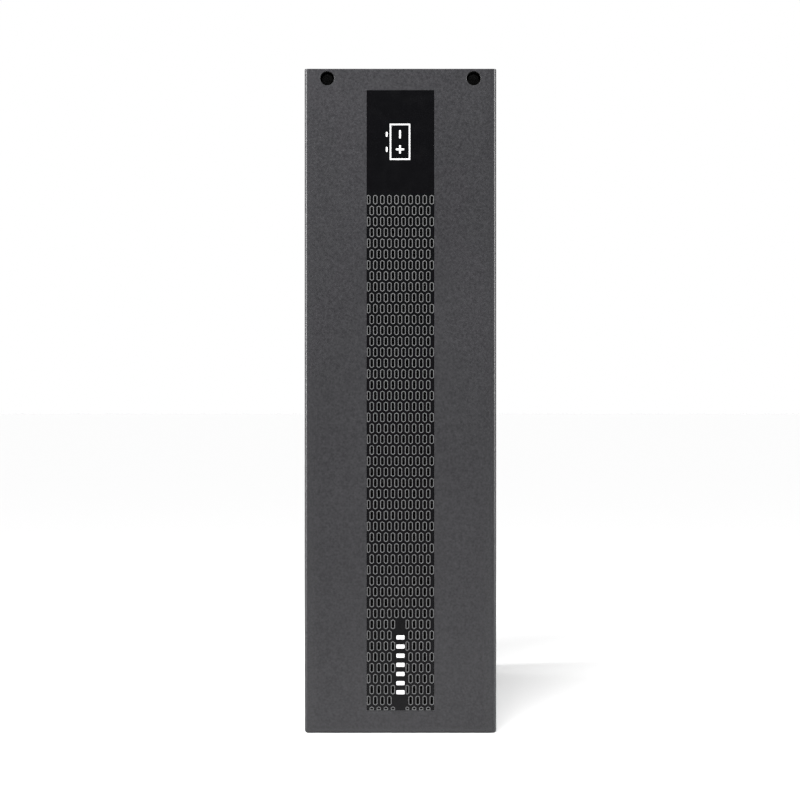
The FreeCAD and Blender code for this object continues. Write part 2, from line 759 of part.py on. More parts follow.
def rear_screws():
    """Pan-head screws with a cross recess: round the rear panel and through the output sockets' flanges."""
    screws = []
    for radius, seat, places in (
        (M3_R, CASE_REAR, [(x, z) for _, x, z in rear_screw_places()]),
        (M4_R, CASE_REAR + FLANGE, socket_screw_places()),
    ):
        for x, z in places:
            head_h = radius * 1.25
            head = rod((x, seat, z), (x, seat + head_h, z), radius * 1.95)
            rim = [e for e in head.Edges if e.BoundBox.YMin > seat + head_h / 2 and len(e.Vertexes) == 1]
            head = head.makeFillet(head_h * 0.45, rim)
            shank = rod((x, seat, z), (x, CASE_REAR - 5.5, z), radius)
            arm, slot = radius * 1.1, radius * 0.22
            top = seat + head_h
            cross = [
                box(x - arm, x + arm, top - head_h * 0.6, top + 1, z - slot, z + slot),
                box(x - slot, x + slot, top - head_h * 0.6, top + 1, z - arm, z + arm),
            ]
            screws.append(head.fuse(shank).cut(cross))
    return screws


def vent_holes():
    """Staggered round holes for cooling air."""
    holes = []
    for lowest, rows in VENT_FIELDS:
        for row in range(rows):
            count = 11 if row % 2 == 0 else 10
            z = lowest + row * VENT_PITCH * math.sin(math.radians(60))
            for k in range(count):
                x = (k - (count - 1) / 2) * VENT_PITCH
                holes.append(rod((x, PANEL_FRONT - 1, z), (x, CASE_REAR + 1, z), VENT_R))
    return holes


def rear_panel():
    edge = 0.3
    plate = rounded_block(
        -INNER_X + edge, INNER_X - edge, PANEL_FRONT, CASE_REAR, SHEET + edge, INNER_TOP - edge, 0.9
    )
    cuts = vent_holes() + [hole for _, hole in rear_screw_holes(M3_R + 0.15)]
    y0, y1 = PANEL_FRONT - 1, CASE_REAR + 1
    for z in SOCKET_Z:
        hx, hz = SOCKET_HALF_X + GAP, SOCKET_HALF_Z + GAP
        cuts.append(box(-hx, hx, y0, y1, z - hz, z + hz))
    for x, z in socket_screw_places():
        cuts.append(rod((x, y0, z), (x, y1, z), M4_R + SCREW_GAP))
    hx, hz = BREAKER_NOSE + GAP, BREAKER_HALF + GAP
    cuts.append(box(-hx, hx, y0, y1, BREAKER_Z - hz, BREAKER_Z + hz))
    hx, hz = PORT_HALF_X + 0.3, PORT_HALF_Z + 0.3
    for z in PORT_Z:
        cuts.append(box(PORT_X - hx, PORT_X + hx, y0, y1, z - hz, z + hz))
    cuts.append(rod((STUD_X, y0, STUD_Z), (STUD_X, y1, STUD_Z), STUD_R + SCREW_GAP))
    return plate.cut(cuts)


def bay_divider():
    """Sheet between the two tray bays, with a stiffening fold along its free edge."""
    y0, y1 = CASE_FRONT + 0.2, BULKHEAD_Y - 0.2
    sheet = box(DIVIDER_X, INNER_X - 0.1, y0, y1, MIDDLE - SHEET / 2, MIDDLE + SHEET / 2)
    fold = box(DIVIDER_X, DIVIDER_X + SHEET, y0, y1, MIDDLE, MIDDLE + 8)
    slots = [rounded_slot(-20, CASE_FRONT + 70 + k * SLOT_PITCH, MIDDLE) for k in range(SLOTS)]
    return fused([sheet, fold]).cut(slots)


def rounded_slot(x, y, z):
    """Long air slot through a level sheet."""
    half, far = SLOT_HALF, y + SLOT_LENGTH
    corners = [(x - half, y, z - 2), (x + half, y, z - 2), (x + half, far, z - 2), (x - half, far, z - 2)]
    return prism(corners, [half - 0.1] * 4, (0, 0, 4))


def tray_guides():
    """Nylon guides: a channel beside each end wall, a strip each side of the divider, and floor strips."""
    y0, y1 = TRAY_FRONT + 2, TRAY_REAR
    top = TRAY_LOW - GAP
    x0, x1 = GUIDE_X
    channel = fused(
        [
            box(x0, x1, y0, y1, top - SHEET, top),
            box(x0, x0 + SHEET, y0, y1, SHEET + 0.1, top),
            box(x1 - SHEET, x1, y0, y1, SHEET + 0.1, top),
        ]
    )
    strip = box(*GUIDE_STRIP_X, y0, y1, TRAY_HIGH + GAP, MIDDLE - SHEET / 2 - 0.1)
    pieces = both_ends(channel) + both_ends(strip)
    for z in FLOOR_STRIP_Z:
        pieces += both_ends(box(TRAY_FLOOR_X + 0.2, INNER_X - 0.1, y0, y1, z, z + FLOOR_STRIP_W))
    return pieces


# ---------------------------------------------------------------- trays and batteries
def tray():
    """Folded steel tray with a high front, whose joggled tab laps over the case's front flange."""
    t = TRAY_SHEET
    low, high = TRAY_LOW, TRAY_HIGH
    pieces = [
        box(TRAY_FLOOR_X - t, TRAY_FLOOR_X, TRAY_FRONT, TRAY_REAR, low, high),
        box(TRAY_LIP_X, TRAY_FLOOR_X, TRAY_FRONT, TRAY_REAR, low, low + t),
        box(TRAY_LIP_X, TRAY_FLOOR_X, TRAY_FRONT, TRAY_REAR, high - t, high),
        box(TRAY_LIP_X, TRAY_FLOOR_X, TRAY_REAR - t, TRAY_REAR, low, high),
        box(TRAY_LIP_X - 12, TRAY_FLOOR_X, TRAY_FRONT, TRAY_FRONT + t, low, high),
        box(-TAB_HALF, TAB_HALF, CASE_FRONT - t - 0.1, TRAY_FRONT + t, low, low + t),
        box(-TAB_HALF, TAB_HALF, CASE_FRONT - t - 0.1, CASE_FRONT - 0.1, TAB_TIP_Z, low + t),
    ]
    cuts = [box(PLUG_X - 16.2, PLUG_X + 16.2, TRAY_REAR - 2, TRAY_REAR + 1, PLUG_Z - 10.2, PLUG_Z + 10.2)]
    for x in (-THUMB_X, THUMB_X):
        cuts.append(rod((x, CASE_FRONT - 3, THUMB_Z), (x, CASE_FRONT + 1, THUMB_Z), M4_R + 0.1))
    for side in (-1, 1):
        z = (low + high) / 2 + side * HANDLE_HALF
        cuts.append(rod((HANDLE_X, TRAY_FRONT - 1, z), (HANDLE_X, TRAY_FRONT + 2, z), HANDLE_ROD + 0.05))
    return fused(pieces).cut(cuts)


def tray_handle():
    """Bent steel rod, riveted through the tray's front."""
    middle = (TRAY_LOW + TRAY_HIGH) / 2
    far = TRAY_FRONT - HANDLE_REACH + HANDLE_ROD
    route = [
        (HANDLE_X, TRAY_FRONT + TRAY_SHEET, middle - HANDLE_HALF),
        (HANDLE_X, far, middle - HANDLE_HALF),
        (HANDLE_X, far, middle + HANDLE_HALF),
        (HANDLE_X, TRAY_FRONT + TRAY_SHEET, middle + HANDLE_HALF),
    ]
    bail = wire_run(route, HANDLE_ROD, 0.55, 0.55)
    collars = []
    for side in (-1, 1):
        z = middle + side * HANDLE_HALF
        ring = rod((HANDLE_X, TRAY_FRONT - 2, z), (HANDLE_X, TRAY_FRONT, z), HANDLE_ROD + 2)
        collars.append(ring)
    return fused([bail, *collars])


def tray_thumbscrews():
    """Captive screws with fluted heads."""
    screws = []
    seat = CASE_FRONT - TRAY_SHEET - 0.1
    for x in (-THUMB_X, THUMB_X):
        head = rod((x, seat - THUMB_HEAD, THUMB_Z), (x, seat - 1, THUMB_Z), THUMB_R)
        collar = rod((x, seat - 1, THUMB_Z), (x, seat, THUMB_Z), COVER_SCREW_HEAD_R)
        shank = rod((x, seat, THUMB_Z), (x, CASE_FRONT + 7, THUMB_Z), M4_R)
        flutes = []
        for k in range(FLUTES):
            a = math.tau * k / FLUTES
            fx, fz = x + (THUMB_R + 0.2) * math.cos(a), THUMB_Z + (THUMB_R + 0.2) * math.sin(a)
            flutes.append(rod((fx, seat - THUMB_HEAD - 1, fz), (fx, seat - 0.9, fz), 0.6))
        face = seat - THUMB_HEAD
        slot = box(x - 4, x + 4, face - 1, face + 1.2, THUMB_Z - 0.6, THUMB_Z + 0.6)
        screws.append(fused([head, collar, shank]).cut([*flutes, slot]))
    return screws


def column_low(column):
    """Lower edge of a column of batteries; column 0 is nearest the end wall."""
    first = TRAY_LOW + TRAY_SHEET + STRAP + 0.4
    return first + column * (BLOCK_W + BLOCK_GAP)


def row_front(row):
    """Front end of a row of batteries; row 0 is nearest the tray's front."""
    return TRAY_FRONT + TRAY_SHEET + 0.5 + row * (BLOCK_L + BLOCK_GAP)


# Series order of the eight batteries, as (row, column). The ninth place is left for the tray's plug.
SERIES = ((0, 0), (0, 1), (0, 2), (1, 2), (1, 1), (1, 0), (2, 0), (2, 1))


def tray_cells():
    """Plate packs inside the jars, six to a battery."""
    floor_x = TRAY_FLOOR_X - TRAY_SHEET - 0.05 - JAR_WALL
    pitch = (BLOCK_L - 2 * JAR_WALL) / CELLS
    side = JAR_WALL + 3
    packs = []
    for row, column in SERIES:
        z0 = column_low(column)
        for k in range(CELLS):
            y = row_front(row) + JAR_WALL + (k + 0.5) * pitch
            low, high = z0 + side, z0 + BLOCK_W - side
            packs.append(box(floor_x - PACK_H, floor_x, y - PACK_HALF, y + PACK_HALF, low, high))
    return packs


def battery_block(row, column):
    """One sealed battery: jar, lid and two flat terminals, all separate solids."""
    y0, z0 = row_front(row), column_low(column)
    y1, z1 = y0 + BLOCK_L, z0 + BLOCK_W
    floor_x = TRAY_FLOOR_X - TRAY_SHEET - 0.05
    top_x = floor_x - BLOCK_H
    seam_x = top_x + BLOCK_LID
    w = JAR_WALL
    jar = block_along_x(seam_x, floor_x, y0, y1, z0, z1, 2.0)
    jar = jar.cut(box(seam_x - 1, floor_x - w, y0 + w, y1 - w, z0 + w, z1 - w))
    lid = block_along_x(top_x + 2, seam_x, y0 + 0.35, y1 - 0.35, z0 + 0.35, z1 - 0.35, 1.8)
    vent_cover = block_along_x(top_x + 1, top_x + 2, y0 + 26, y1 - 12, z0 + 12, z1 - 12, 3.0)
    pads = []
    for z in terminal_heights(column):
        y = y0 + TAB_FROM_END
        pads.append(block_along_x(top_x, top_x + 2, y - 7, y + 7, z - 8, z + 8, 1.5))
    lid = fused([lid, vent_cover, *pads])
    tabs = []
    for z in terminal_heights(column):
        y = y0 + TAB_FROM_END
        tabs.append(box(top_x - 7.5, top_x, y - 3.15, y + 3.15, z - 0.4, z + 0.4))
    return [jar, lid, *tabs]


def block_along_x(x0, x1, y0, y1, z0, z1, radius):
    """Box with its four edges along X rounded."""
    corners = [(x0, y0, z0), (x0, y1, z0), (x0, y1, z1), (x0, y0, z1)]
    return prism(corners, [radius] * 4, (x1 - x0, 0, 0))


def terminal_heights(column):
    middle = column_low(column) + BLOCK_W / 2
    return middle - TAB_OFFSET_Z, middle + TAB_OFFSET_Z


def tray_straps():
    """Steel bands over each row, with legs down between the batteries and the tray's sides."""
    bands = []
    top_x = TRAY_FLOOR_X - TRAY_SHEET - 0.05 - BLOCK_H
    low, high = TRAY_LOW + TRAY_SHEET + 0.15, TRAY_HIGH - TRAY_SHEET - 0.15
    for row in range(3):
        y = row_front(row) + BLOCK_L / 2
        y0, y1 = y - STRAP_W / 2, y + STRAP_W / 2
        bands.append(
            fused(
                [
                    box(top_x - 0.2 - STRAP, top_x - 0.2, y0, y1, low, high),
                    box(top_x - 0.2 - STRAP, 10, y0, y1, low, low + STRAP),
                    box(top_x - 0.2 - STRAP, 10, y0, y1, high - STRAP, high),
                ]
            )
        )
    return bands


def tray_links():
    """Push-on sleeves on every terminal, and the wires that join the batteries in series."""
    top_x = TRAY_FLOOR_X - TRAY_SHEET - 0.05 - BLOCK_H
    pieces = []
    for row, column in SERIES:
        y = row_front(row) + TAB_FROM_END
        for z in terminal_heights(column):
            sleeve = box(SLEEVE_TOP_X, top_x - 0.1, y - 4.2, y + 4.2, z - 2.4, z + 2.4)
            slot = box(top_x - 7.8, top_x, y - 3.4, y + 3.4, z - 0.6, z + 0.6)
            pieces.append(sleeve.cut(slot))
    for first, second in zip(SERIES, SERIES[1:]):
        (r0, c0), (r1, c1) = first, second
        if r0 == r1:  # neighbours in a row: a half ring
            low = min(c0, c1)
            y = row_front(r0) + TAB_FROM_END
            z0, z1 = terminal_heights(low)[1], terminal_heights(low + 1)[0]
            pieces.append(half_ring(SLEEVE_TOP_X, y, z0, z1))
        else:  # from one row to the next
            z = terminal_heights(c0)[1] if c0 == 2 else terminal_heights(c0)[0]
            y0, y1 = row_front(r0) + TAB_FROM_END, row_front(r1) + TAB_FROM_END
            up = SLEEVE_TOP_X - 7
            route = [(SLEEVE_TOP_X, y0, z), (up, y0, z), (up, y1, z), (SLEEVE_TOP_X, y1, z)]
            pieces.append(wire_run(route, LINK_R))
    return pieces + tray_tails()


def half_ring(x, y, z0, z1):
    """Wire bent through a half circle between two points at the same x and y."""
    middle, r = V(x, y, (z0 + z1) / 2), (z1 - z0) / 2
    arc = Part.Arc(V(x, y, z0), middle - V(r, 0, 0), V(x, y, z1)).toShape()
    ring = Part.Wire(Part.makeCircle(LINK_R, V(x, y, z0), V(1, 0, 0)))
    return Part.Wire(arc).makePipeShell([ring], True, True)


def tray_tails():
    """The two end wires of the string, led to the plug at the tray's rear."""
    far, near = SLEEVE_TOP_X - 11, SLEEVE_TOP_X - 7
    plug_back = TRAY_REAR - 9
    y0, z0 = row_front(0) + TAB_FROM_END, terminal_heights(0)[0]
    turn = row_front(2) + 110
    first = [
        (SLEEVE_TOP_X, y0, z0),
        (far, y0, z0),
        (far, turn, z0),
        (far, turn, PLUG_Z - 6),
        (PLUG_X - PIN_OFFSET, turn, PLUG_Z - 6),
        (PLUG_X - PIN_OFFSET, plug_back, PLUG_Z - 6),
    ]
    y1, z1 = row_front(2) + TAB_FROM_END, terminal_heights(1)[1]
    x2, z2 = PLUG_X + PIN_OFFSET, PLUG_Z + 6
    second = [
        (SLEEVE_TOP_X, y1, z1),
        (near, y1, z1),
        (near, y1, z2),
        (x2, y1, z2),
        (x2, FUSE_Y0, z2),
    ]
    third = [(x2, FUSE_Y0 + FUSE_LENGTH, z2), (x2, plug_back, z2)]
    return [wire_run(route, LINK_R) for route in (first, second, third)]


def tray_fuse():
    """String fuse in the place left for it: a holder on the tray's floor, two clips and a cartridge."""
    x, z = PLUG_X + PIN_OFFSET, PLUG_Z + 6
    y0, y1 = FUSE_Y0, FUSE_Y0 + FUSE_LENGTH
    floor_x = TRAY_FLOOR_X - TRAY_SHEET - 0.05
    holder = fused(
        [
            box(x + FUSE_R + 1, floor_x, y0, y1, z - 13, z + 13),
            box(x + 3, x + FUSE_R + 1, y0 + 12, y1 - 12, z - 13, z - FUSE_R - 1),
            box(x + 3, x + FUSE_R + 1, y0 + 12, y1 - 12, z + FUSE_R + 1, z + 13),
        ]
    )
    clips = [
        box(x - FUSE_R, x + FUSE_R + 1, low, low + 8, z - FUSE_R, z + FUSE_R) for low in (y0, y1 - 8)
    ]
    return [holder, *clips, rod((x, y0 + 8, z), (x, y1 - 8, z), FUSE_R)]


def tray_plug():
    """Plug body in the tray's rear wall with two flat pins that enter the bulkhead socket."""
    body = box(PLUG_X - 16, PLUG_X + 16, TRAY_REAR - 9, TRAY_REAR + 1.6, PLUG_Z - 10, PLUG_Z + 10)
    shoulder = box(PLUG_X - 19, PLUG_X + 19, TRAY_REAR - 9, TRAY_REAR - 1.2, PLUG_Z - 13, PLUG_Z + 13)
    pins = []
    for side in (-1, 1):
        x = PLUG_X + side * PIN_OFFSET
        pins.append(box(x - 4, x + 4, TRAY_REAR + 1, TRAY_REAR + 16, PLUG_Z - 1, PLUG_Z + 1))
    return fused([body, shoulder, *pins])


# ---------------------------------------------------------------- rear compartment
def receptacle_bulkhead():
    """Cross sheet behind the trays that carries the two tray sockets."""
    t = SHEET
    low, high, side = BEND, HEIGHT - BEND, INNER_X - 0.1
    plate = box(BULKHEAD_X, side, BULKHEAD_Y, BULKHEAD_Y + t, low, high)
    foot = box(side - t, side, BULKHEAD_Y, BULKHEAD_Y + 12, low, high)
    fold = box(BULKHEAD_X, BULKHEAD_X + t, BULKHEAD_Y, BULKHEAD_Y + 8, low, high)
    cuts = []
    for z in (PLUG_Z, HEIGHT - PLUG_Z):
        cuts.append(box(PLUG_X - 18.2, PLUG_X + 18.2, BULKHEAD_Y - 1, BULKHEAD_Y + 3, z - 12.2, z + 12.2))
    half_x, half_z = AIR_WINDOW
    for z in AIR_WINDOW_Z:
        for centre in (z, HEIGHT - z):
            x0, x1 = AIR_WINDOW_X - half_x, AIR_WINDOW_X + half_x
            cuts.append(
                rounded_block(x0, x1, BULKHEAD_Y - 1, BULKHEAD_Y + 3, centre - half_z, centre + half_z, 6)
            )
    return fused([plate, foot, fold]).cut(cuts)


def tray_receptacle():
    """Socket on the bulkhead: a slotted body with a flange behind the sheet."""
    body = box(PLUG_X - 18, PLUG_X + 18, TRAY_REAR + 2, BEHIND_BULKHEAD, PLUG_Z - 12, PLUG_Z + 12)
    flange = box(
        PLUG_X - 22, PLUG_X + 22, BULKHEAD_Y + SHEET + 0.05, BULKHEAD_Y + SHEET + 2, PLUG_Z - 16, PLUG_Z + 16
    )
    slots = []
    for side in (-1, 1):
        x = PLUG_X + side * PIN_OFFSET
        slots.append(box(x - 4.4, x + 4.4, TRAY_REAR + 1, TRAY_REAR + 19, PLUG_Z - 1.4, PLUG_Z + 1.4))
    return fused([body, flange]).cut(slots)


def breaker_clamps(shoulder):
    """Holes for the four clamp screws, and for the wires that enter from both sides."""
    cuts = []
    for side in (-1, 1):
        for pole in (-POLE, POLE):
            z = BREAKER_Z + pole
            x, mouth = side * CLAMP_X, side * BREAKER_SIDE
            cuts.append(rod((x, shoulder + 1, z), (x, shoulder - 6, z), CLAMP_R))
            cuts.append(rod((mouth + side, CLAMP_Y, z), (mouth - side * 5, CLAMP_Y, z), WIRE_R + 0.3))
    return cuts


def breaker_body():
    """Two-pole breaker, with shoulders behind the rear panel and its nose through it."""
    z0, z1 = BREAKER_Z - BREAKER_HALF, BREAKER_Z + BREAKER_HALF
    shoulder = PANEL_FRONT - SHEET - 2.5
    body = box(-BREAKER_SIDE, BREAKER_SIDE, BREAKER_BACK, shoulder, z0, z1)
    nose = rounded_block(-BREAKER_NOSE, BREAKER_NOSE, shoulder, NOSE_FACE, z0, z1, 0.8)
    low, high = BREAKER_Z - DRUM_HALF - GAP, BREAKER_Z + DRUM_HALF + GAP
    hub_seat = rod((0, TOGGLE_Y, low), (0, TOGGLE_Y, high), HUB_R + GAP)
    window = box(-WINDOW_HALF, WINDOW_HALF, TOGGLE_Y + 1.8, NOSE_FACE + 1, low, high)
    pin_seat = rod((0, TOGGLE_Y, low - PIVOT_REACH), (0, TOGGLE_Y, high + PIVOT_REACH), PIVOT_R + 0.07)
    half = BREAKER_SIDE
    groove = box(-half, half, NOSE_FACE - 0.5, NOSE_FACE + 1, BREAKER_Z - 0.3, BREAKER_Z + 0.3)
    rail_slot = box(-RAIL_HALF - 0.3, RAIL_HALF + 0.3, BREAKER_BACK - 1, RAIL_FACE + 0.3, z0 - 1, z1 + 1)
    cuts = [hub_seat, window, pin_seat, groove, rail_slot]
    return fused([body, nose]).cut(cuts + breaker_clamps(shoulder))


def breaker_rail():
    """Top-hat rail behind the breaker, on two feet from the bulkhead."""
    z0, z1 = BREAKER_Z - RAIL_LENGTH / 2, BREAKER_Z + RAIL_LENGTH / 2
    base = BREAKER_BACK - 1
    hat = [
        box(-RAIL_HALF, RAIL_HALF, RAIL_FACE - RAIL_SHEET, RAIL_FACE, z0, z1),
        box(-HAT_HALF, -HAT_HALF + RAIL_SHEET, base, RAIL_FACE, z0, z1),
        box(HAT_HALF - RAIL_SHEET, HAT_HALF, base, RAIL_FACE, z0, z1),
        box(-HAT_HALF, HAT_HALF, base, base + RAIL_SHEET - 0.1, z0, z1),
    ]
    feet = [
        box(-10, 10, BULKHEAD_Y + SHEET + CONTACT, base, z, z + 1.5) for z in (z0 + 3, z1 - 4.5)
    ]
    return fused([*hat, *feet])


def breaker_toggle():
    """Both poles' levers on one drum, joined by a tie bar. Off, it leans towards +X."""
    z0, z1 = BREAKER_Z - DRUM_HALF, BREAKER_Z + DRUM_HALF
    drum = rod((0, TOGGLE_Y, z0), (0, TOGGLE_Y, z1), HUB_R)
    pins = rod((0, TOGGLE_Y, z0 - PIVOT_REACH), (0, TOGGLE_Y, z1 + PIVOT_REACH), PIVOT_R)
    tip = TOGGLE_Y + LEVER_LENGTH
    levers = []
    for side in (-1, 1):
        low, high = sorted((BREAKER_Z + side * 2, BREAKER_Z + side * DRUM_HALF))
        outline = [
            (-LEVER_ROOT, TOGGLE_Y, low),
            (LEVER_ROOT, TOGGLE_Y, low),
            (LEVER_TIP, tip, low),
            (-LEVER_TIP, tip, low),
        ]
        levers.append(prism(outline, [0, 0, 1.5, 1.5], (0, 0, high - low)))
    half, near, far, start = LEVER_TIP, tip - 4.5, tip - 0.4, z0 + TIE_INSET
    tie = prism(
        [(-half, near, start), (half, near, start), (half, far, start), (-half, far, start)],
        [0, 0, 1.2, 1.2],
        (0, 0, 2 * (DRUM_HALF - TIE_INSET)),
    )
    toggle = fused([drum, pins, *levers, tie])
    toggle.rotate(V(0, TOGGLE_Y, 0), V(0, 0, 1), -LEVER_TILT)
    return toggle


def output_socket(z):
    """Two-cavity power socket with a flange on the rear panel."""
    hx, hz = SOCKET_HALF_X, SOCKET_HALF_Z
    body = rounded_block(-hx, hx, CAVITY_FLOOR - 10, REAR, z - hz, z + hz, 3)
    fx, fz = FLANGE_HALF_X, FLANGE_HALF_Z
    flange = rounded_block(-fx, fx, CASE_REAR, CASE_REAR + FLANGE, z - fz, z + fz, 5)
    cuts = []
    half = CAVITY / 2
    for side in (-1, 1):
        c = z + side * CAVITY_OFFSET
        cuts.append(rounded_block(-half, half, CAVITY_FLOOR, REAR + 1, c - half, c + half, 1.5))
        x0, x1 = (half - inset for inset in (CONTACT_FAR + 0.1, CONTACT_NEAR - 0.1))
        hz = CONTACT_HALF + 0.1
        cuts.append(box(x0, x1, CAVITY_FLOOR - 11, CAVITY_FLOOR + 1, c - hz, c + hz))
        hole_z = z + side * (SOCKET_HALF_Z + 5)
        cuts.append(rod((0, CASE_REAR - 1, hole_z), (0, CASE_REAR + FLANGE + 1, hole_z), M4_R + SCREW_GAP))
    key = box(-hx - 1, -hx + 1.2, CASE_REAR + FLANGE + 0.01, REAR + 1, z - 3, z + 3)
    return fused([body, flange]).cut([*cuts, key])


def output_contacts():
    """Flat contacts along the +X wall of each cavity, with a lug behind the socket."""
    half = CAVITY / 2
    bars = []
    for z in SOCKET_Z:
        for side in (-1, 1):
            c = z + side * CAVITY_OFFSET
            x0, x1 = half - CONTACT_FAR, half - CONTACT_NEAR
            bars.append(box(x0, x1, LUG_Y, REAR - 5, c - CONTACT_HALF, c + CONTACT_HALF))
    return bars


def detection_ports():
    """Two modular jacks for the battery-detection lead, with latch notches."""
    ports = []
    for z in PORT_Z:
        hx, hz = PORT_HALF_X, PORT_HALF_Z
        body = box(PORT_X - hx, PORT_X + hx, CASE_REAR - PORT_DEPTH, CASE_REAR + PORT_PROUD, z - hz, z + hz)
        hx, hz = MOUTH_HALF_X, MOUTH_HALF_Z
        mouth = box(PORT_X - hx, PORT_X + hx, CASE_REAR - MOUTH_DEPTH, REAR, z - hz, z + hz)
        latch = box(PORT_X, PORT_X + LATCH_X, CASE_REAR - LATCH_DEPTH, REAR, z - LATCH_HALF, z + LATCH_HALF)
        ports.append(body.cut([mouth, latch]))
    return ports


def detection_board():
    """Circuit board that the jacks are soldered to, with a pin header and a chip."""
    low, high = PORT_Z[0] - BOARD_MARGIN, PORT_Z[1] + BOARD_MARGIN
    x0 = PORT_X + PORT_HALF_X + 2 * CONTACT
    front, rear = BOARD_Y
    middle = (low + high) / 2
    board = box(x0, x0 + BOARD, front, rear, low, high)
    header = box(x0 + BOARD, x0 + 9, front + 2, front + 10, low + 6, middle)
    chip = box(x0 - 2, x0, front + 6, front + 16, middle - 7, middle + 7)
    return fused([board, header, chip])


def earth_terminal():
    """M5 stud with a flat head inside the rear panel, a washer and a hexagon nut.

    The nut grips the stud at the root of its thread; the free end has the thread's full radius.
    """
    grip = REAR - STUD_END - STUD_FREE
    behind = PANEL_FRONT - CONTACT
    head = rod((STUD_X, behind - STUD_HEAD, STUD_Z), (STUD_X, behind, STUD_Z), WASHER_R)
    neck = rod((STUD_X, behind, STUD_Z), (STUD_X, grip, STUD_Z), STUD_ROOT_R)
    free_end = rod((STUD_X, grip, STUD_Z), (STUD_X, grip + STUD_FREE, STUD_Z), STUD_R)
    washer_y = CASE_REAR + CONTACT
    nut_y = washer_y + SHEET + CONTACT
    washer = rod((STUD_X, washer_y, STUD_Z), (STUD_X, washer_y + SHEET, STUD_Z), WASHER_R)
    washer = washer.cut(rod((STUD_X, CASE_REAR, STUD_Z), (STUD_X, grip, STUD_Z), STUD_R))
    nut = hex_prism((STUD_X, nut_y, STUD_Z), NUT_FLATS, (0, STUD_NUT, 0))
    nut = nut.cut(rod((STUD_X, CASE_REAR, STUD_Z), (STUD_X, REAR, STUD_Z), STUD_ROOT_R + CONTACT))
    return [fused([head, neck, free_end]), washer, nut]


def jumper(low_z, high_z, side_x):
    """Wire that joins the lugs of one pole of both sockets, passing beside the lugs of the other pole."""
    x = CAVITY / 2 - 2
    return wire_run(
        [
            (x, LUG_Y, low_z + LUG_SPLIT),
            (x, LUG_Y - JUMPER_BACK, low_z + LUG_SPLIT),
            (side_x, LUG_Y - JUMPER_BACK, low_z + LUG_SPLIT),
            (side_x, LUG_Y - JUMPER_BACK, high_z),
            (x, LUG_Y - JUMPER_BACK, high_z),
            (x, LUG_Y, high_z),
        ],
        WIRE_R,
    )


def harness_red():
    """Positive wires: upper tray to breaker, breaker to both sockets."""
    high, pole = HEIGHT - PLUG_Z, BREAKER_Z + POLE
    near_pin = PLUG_X - PIN_OFFSET
    across_y, behind_y = BEHIND_BULKHEAD + 13, BEHIND_BULKHEAD + 3
    from_tray = [
        (near_pin, BEHIND_BULKHEAD, high),
        (near_pin, across_y, high),
        (-RED_SIDE, across_y, high),
        (-RED_SIDE, CLAMP_Y, pole),
        (-WIRE_END, CLAMP_Y, pole),
    ]
    x = CAVITY / 2 - 2
    low, up = (z - CAVITY_OFFSET for z in SOCKET_Z)
    from_breaker = [
        (WIRE_END, CLAMP_Y, pole),
        (RED_SIDE, CLAMP_Y, pole),
        (RED_SIDE, behind_y, low - LUG_SPLIT),
        (x, behind_y, low - LUG_SPLIT),
        (x, LUG_Y, low - LUG_SPLIT),
    ]
    return [
        wire_run(from_tray, WIRE_R, 0.9, 0.6),
        wire_run(from_breaker, WIRE_R, 0.6, 0.9),
        jumper(low, up, x + JUMPER_SWING),
    ]


def harness_black():
    """Negative wires, and the link between the two trays."""
    back, high, pole = BEHIND_BULKHEAD, HEIGHT - PLUG_Z, BREAKER_Z - POLE
    near_pin, far_pin = PLUG_X - PIN_OFFSET, PLUG_X + PIN_OFFSET
    across_y, loop_y, edge_y = back + 29, back + 34, back - 9
    from_tray = [
        (near_pin, back, PLUG_Z),
        (near_pin, across_y, PLUG_Z),
        (-BLACK_SIDE, across_y, PLUG_Z),
        (-BLACK_SIDE, CLAMP_Y, pole),
        (-WIRE_END, CLAMP_Y, pole),
    ]
    link = [(far_pin, y, z) for y, z in ((back, PLUG_Z), (loop_y, PLUG_Z), (loop_y, high), (back, high))]
    x = CAVITY / 2 - 2
    low, up = (z + CAVITY_OFFSET for z in SOCKET_Z)
    from_breaker = [
        (WIRE_END, CLAMP_Y, pole),
        (BLACK_SIDE, CLAMP_Y, pole),
        (BLACK_SIDE, edge_y, 2 * BREAKER_Z),
        (RED_SIDE, edge_y, low - LUG_SPLIT),
        (x, edge_y, low - LUG_SPLIT),
        (x, LUG_Y, low - LUG_SPLIT),
    ]
    return [
        wire_run(from_tray, WIRE_R, 0.9, 0.75),
        wire_run(link, WIRE_R),
        wire_run(from_breaker, WIRE_R, 0.75, 0.9),
        jumper(low, up, x - JUMPER_SWING),
    ]


def earth_wire():
    """Green and yellow wire from the stud's head to the case wall."""
    start = (STUD_X, PANEL_FRONT - STUD_HEAD - CONTACT, STUD_Z)
    bend_y, lug_y, lug_z = EARTH_LUG_Y + 25, EARTH_LUG_Y + 8, 12.0
    route = [start, (STUD_X, bend_y, STUD_Z), (STUD_X, bend_y, lug_z), (STUD_X, lug_y, lug_z)]
    low = SHEET + 2 * CONTACT
    ring = rod((STUD_X, EARTH_LUG_Y, low), (STUD_X, EARTH_LUG_Y, low + 1.5), 6)
    barrel = box(STUD_X - 3, STUD_X + 3, EARTH_LUG_Y - 4, lug_y, low + 1.5, lug_z + 3)
    return [wire_run(route, 2.0, 0.6, 0.6), fused([ring, barrel])]


# ---------------------------------------------------------------- every piece and its file
def lower(makers):
    return {f"lower_{name}": make() for name, make in makers.items()}


def upper(makers):
    made = {}
    for name, make in makers.items():
        shape = make()
        many = isinstance(shape, list)
        made[f"upper_{name}"] = [mirrored_up(s) for s in shape] if many else mirrored_up(shape)
    return made


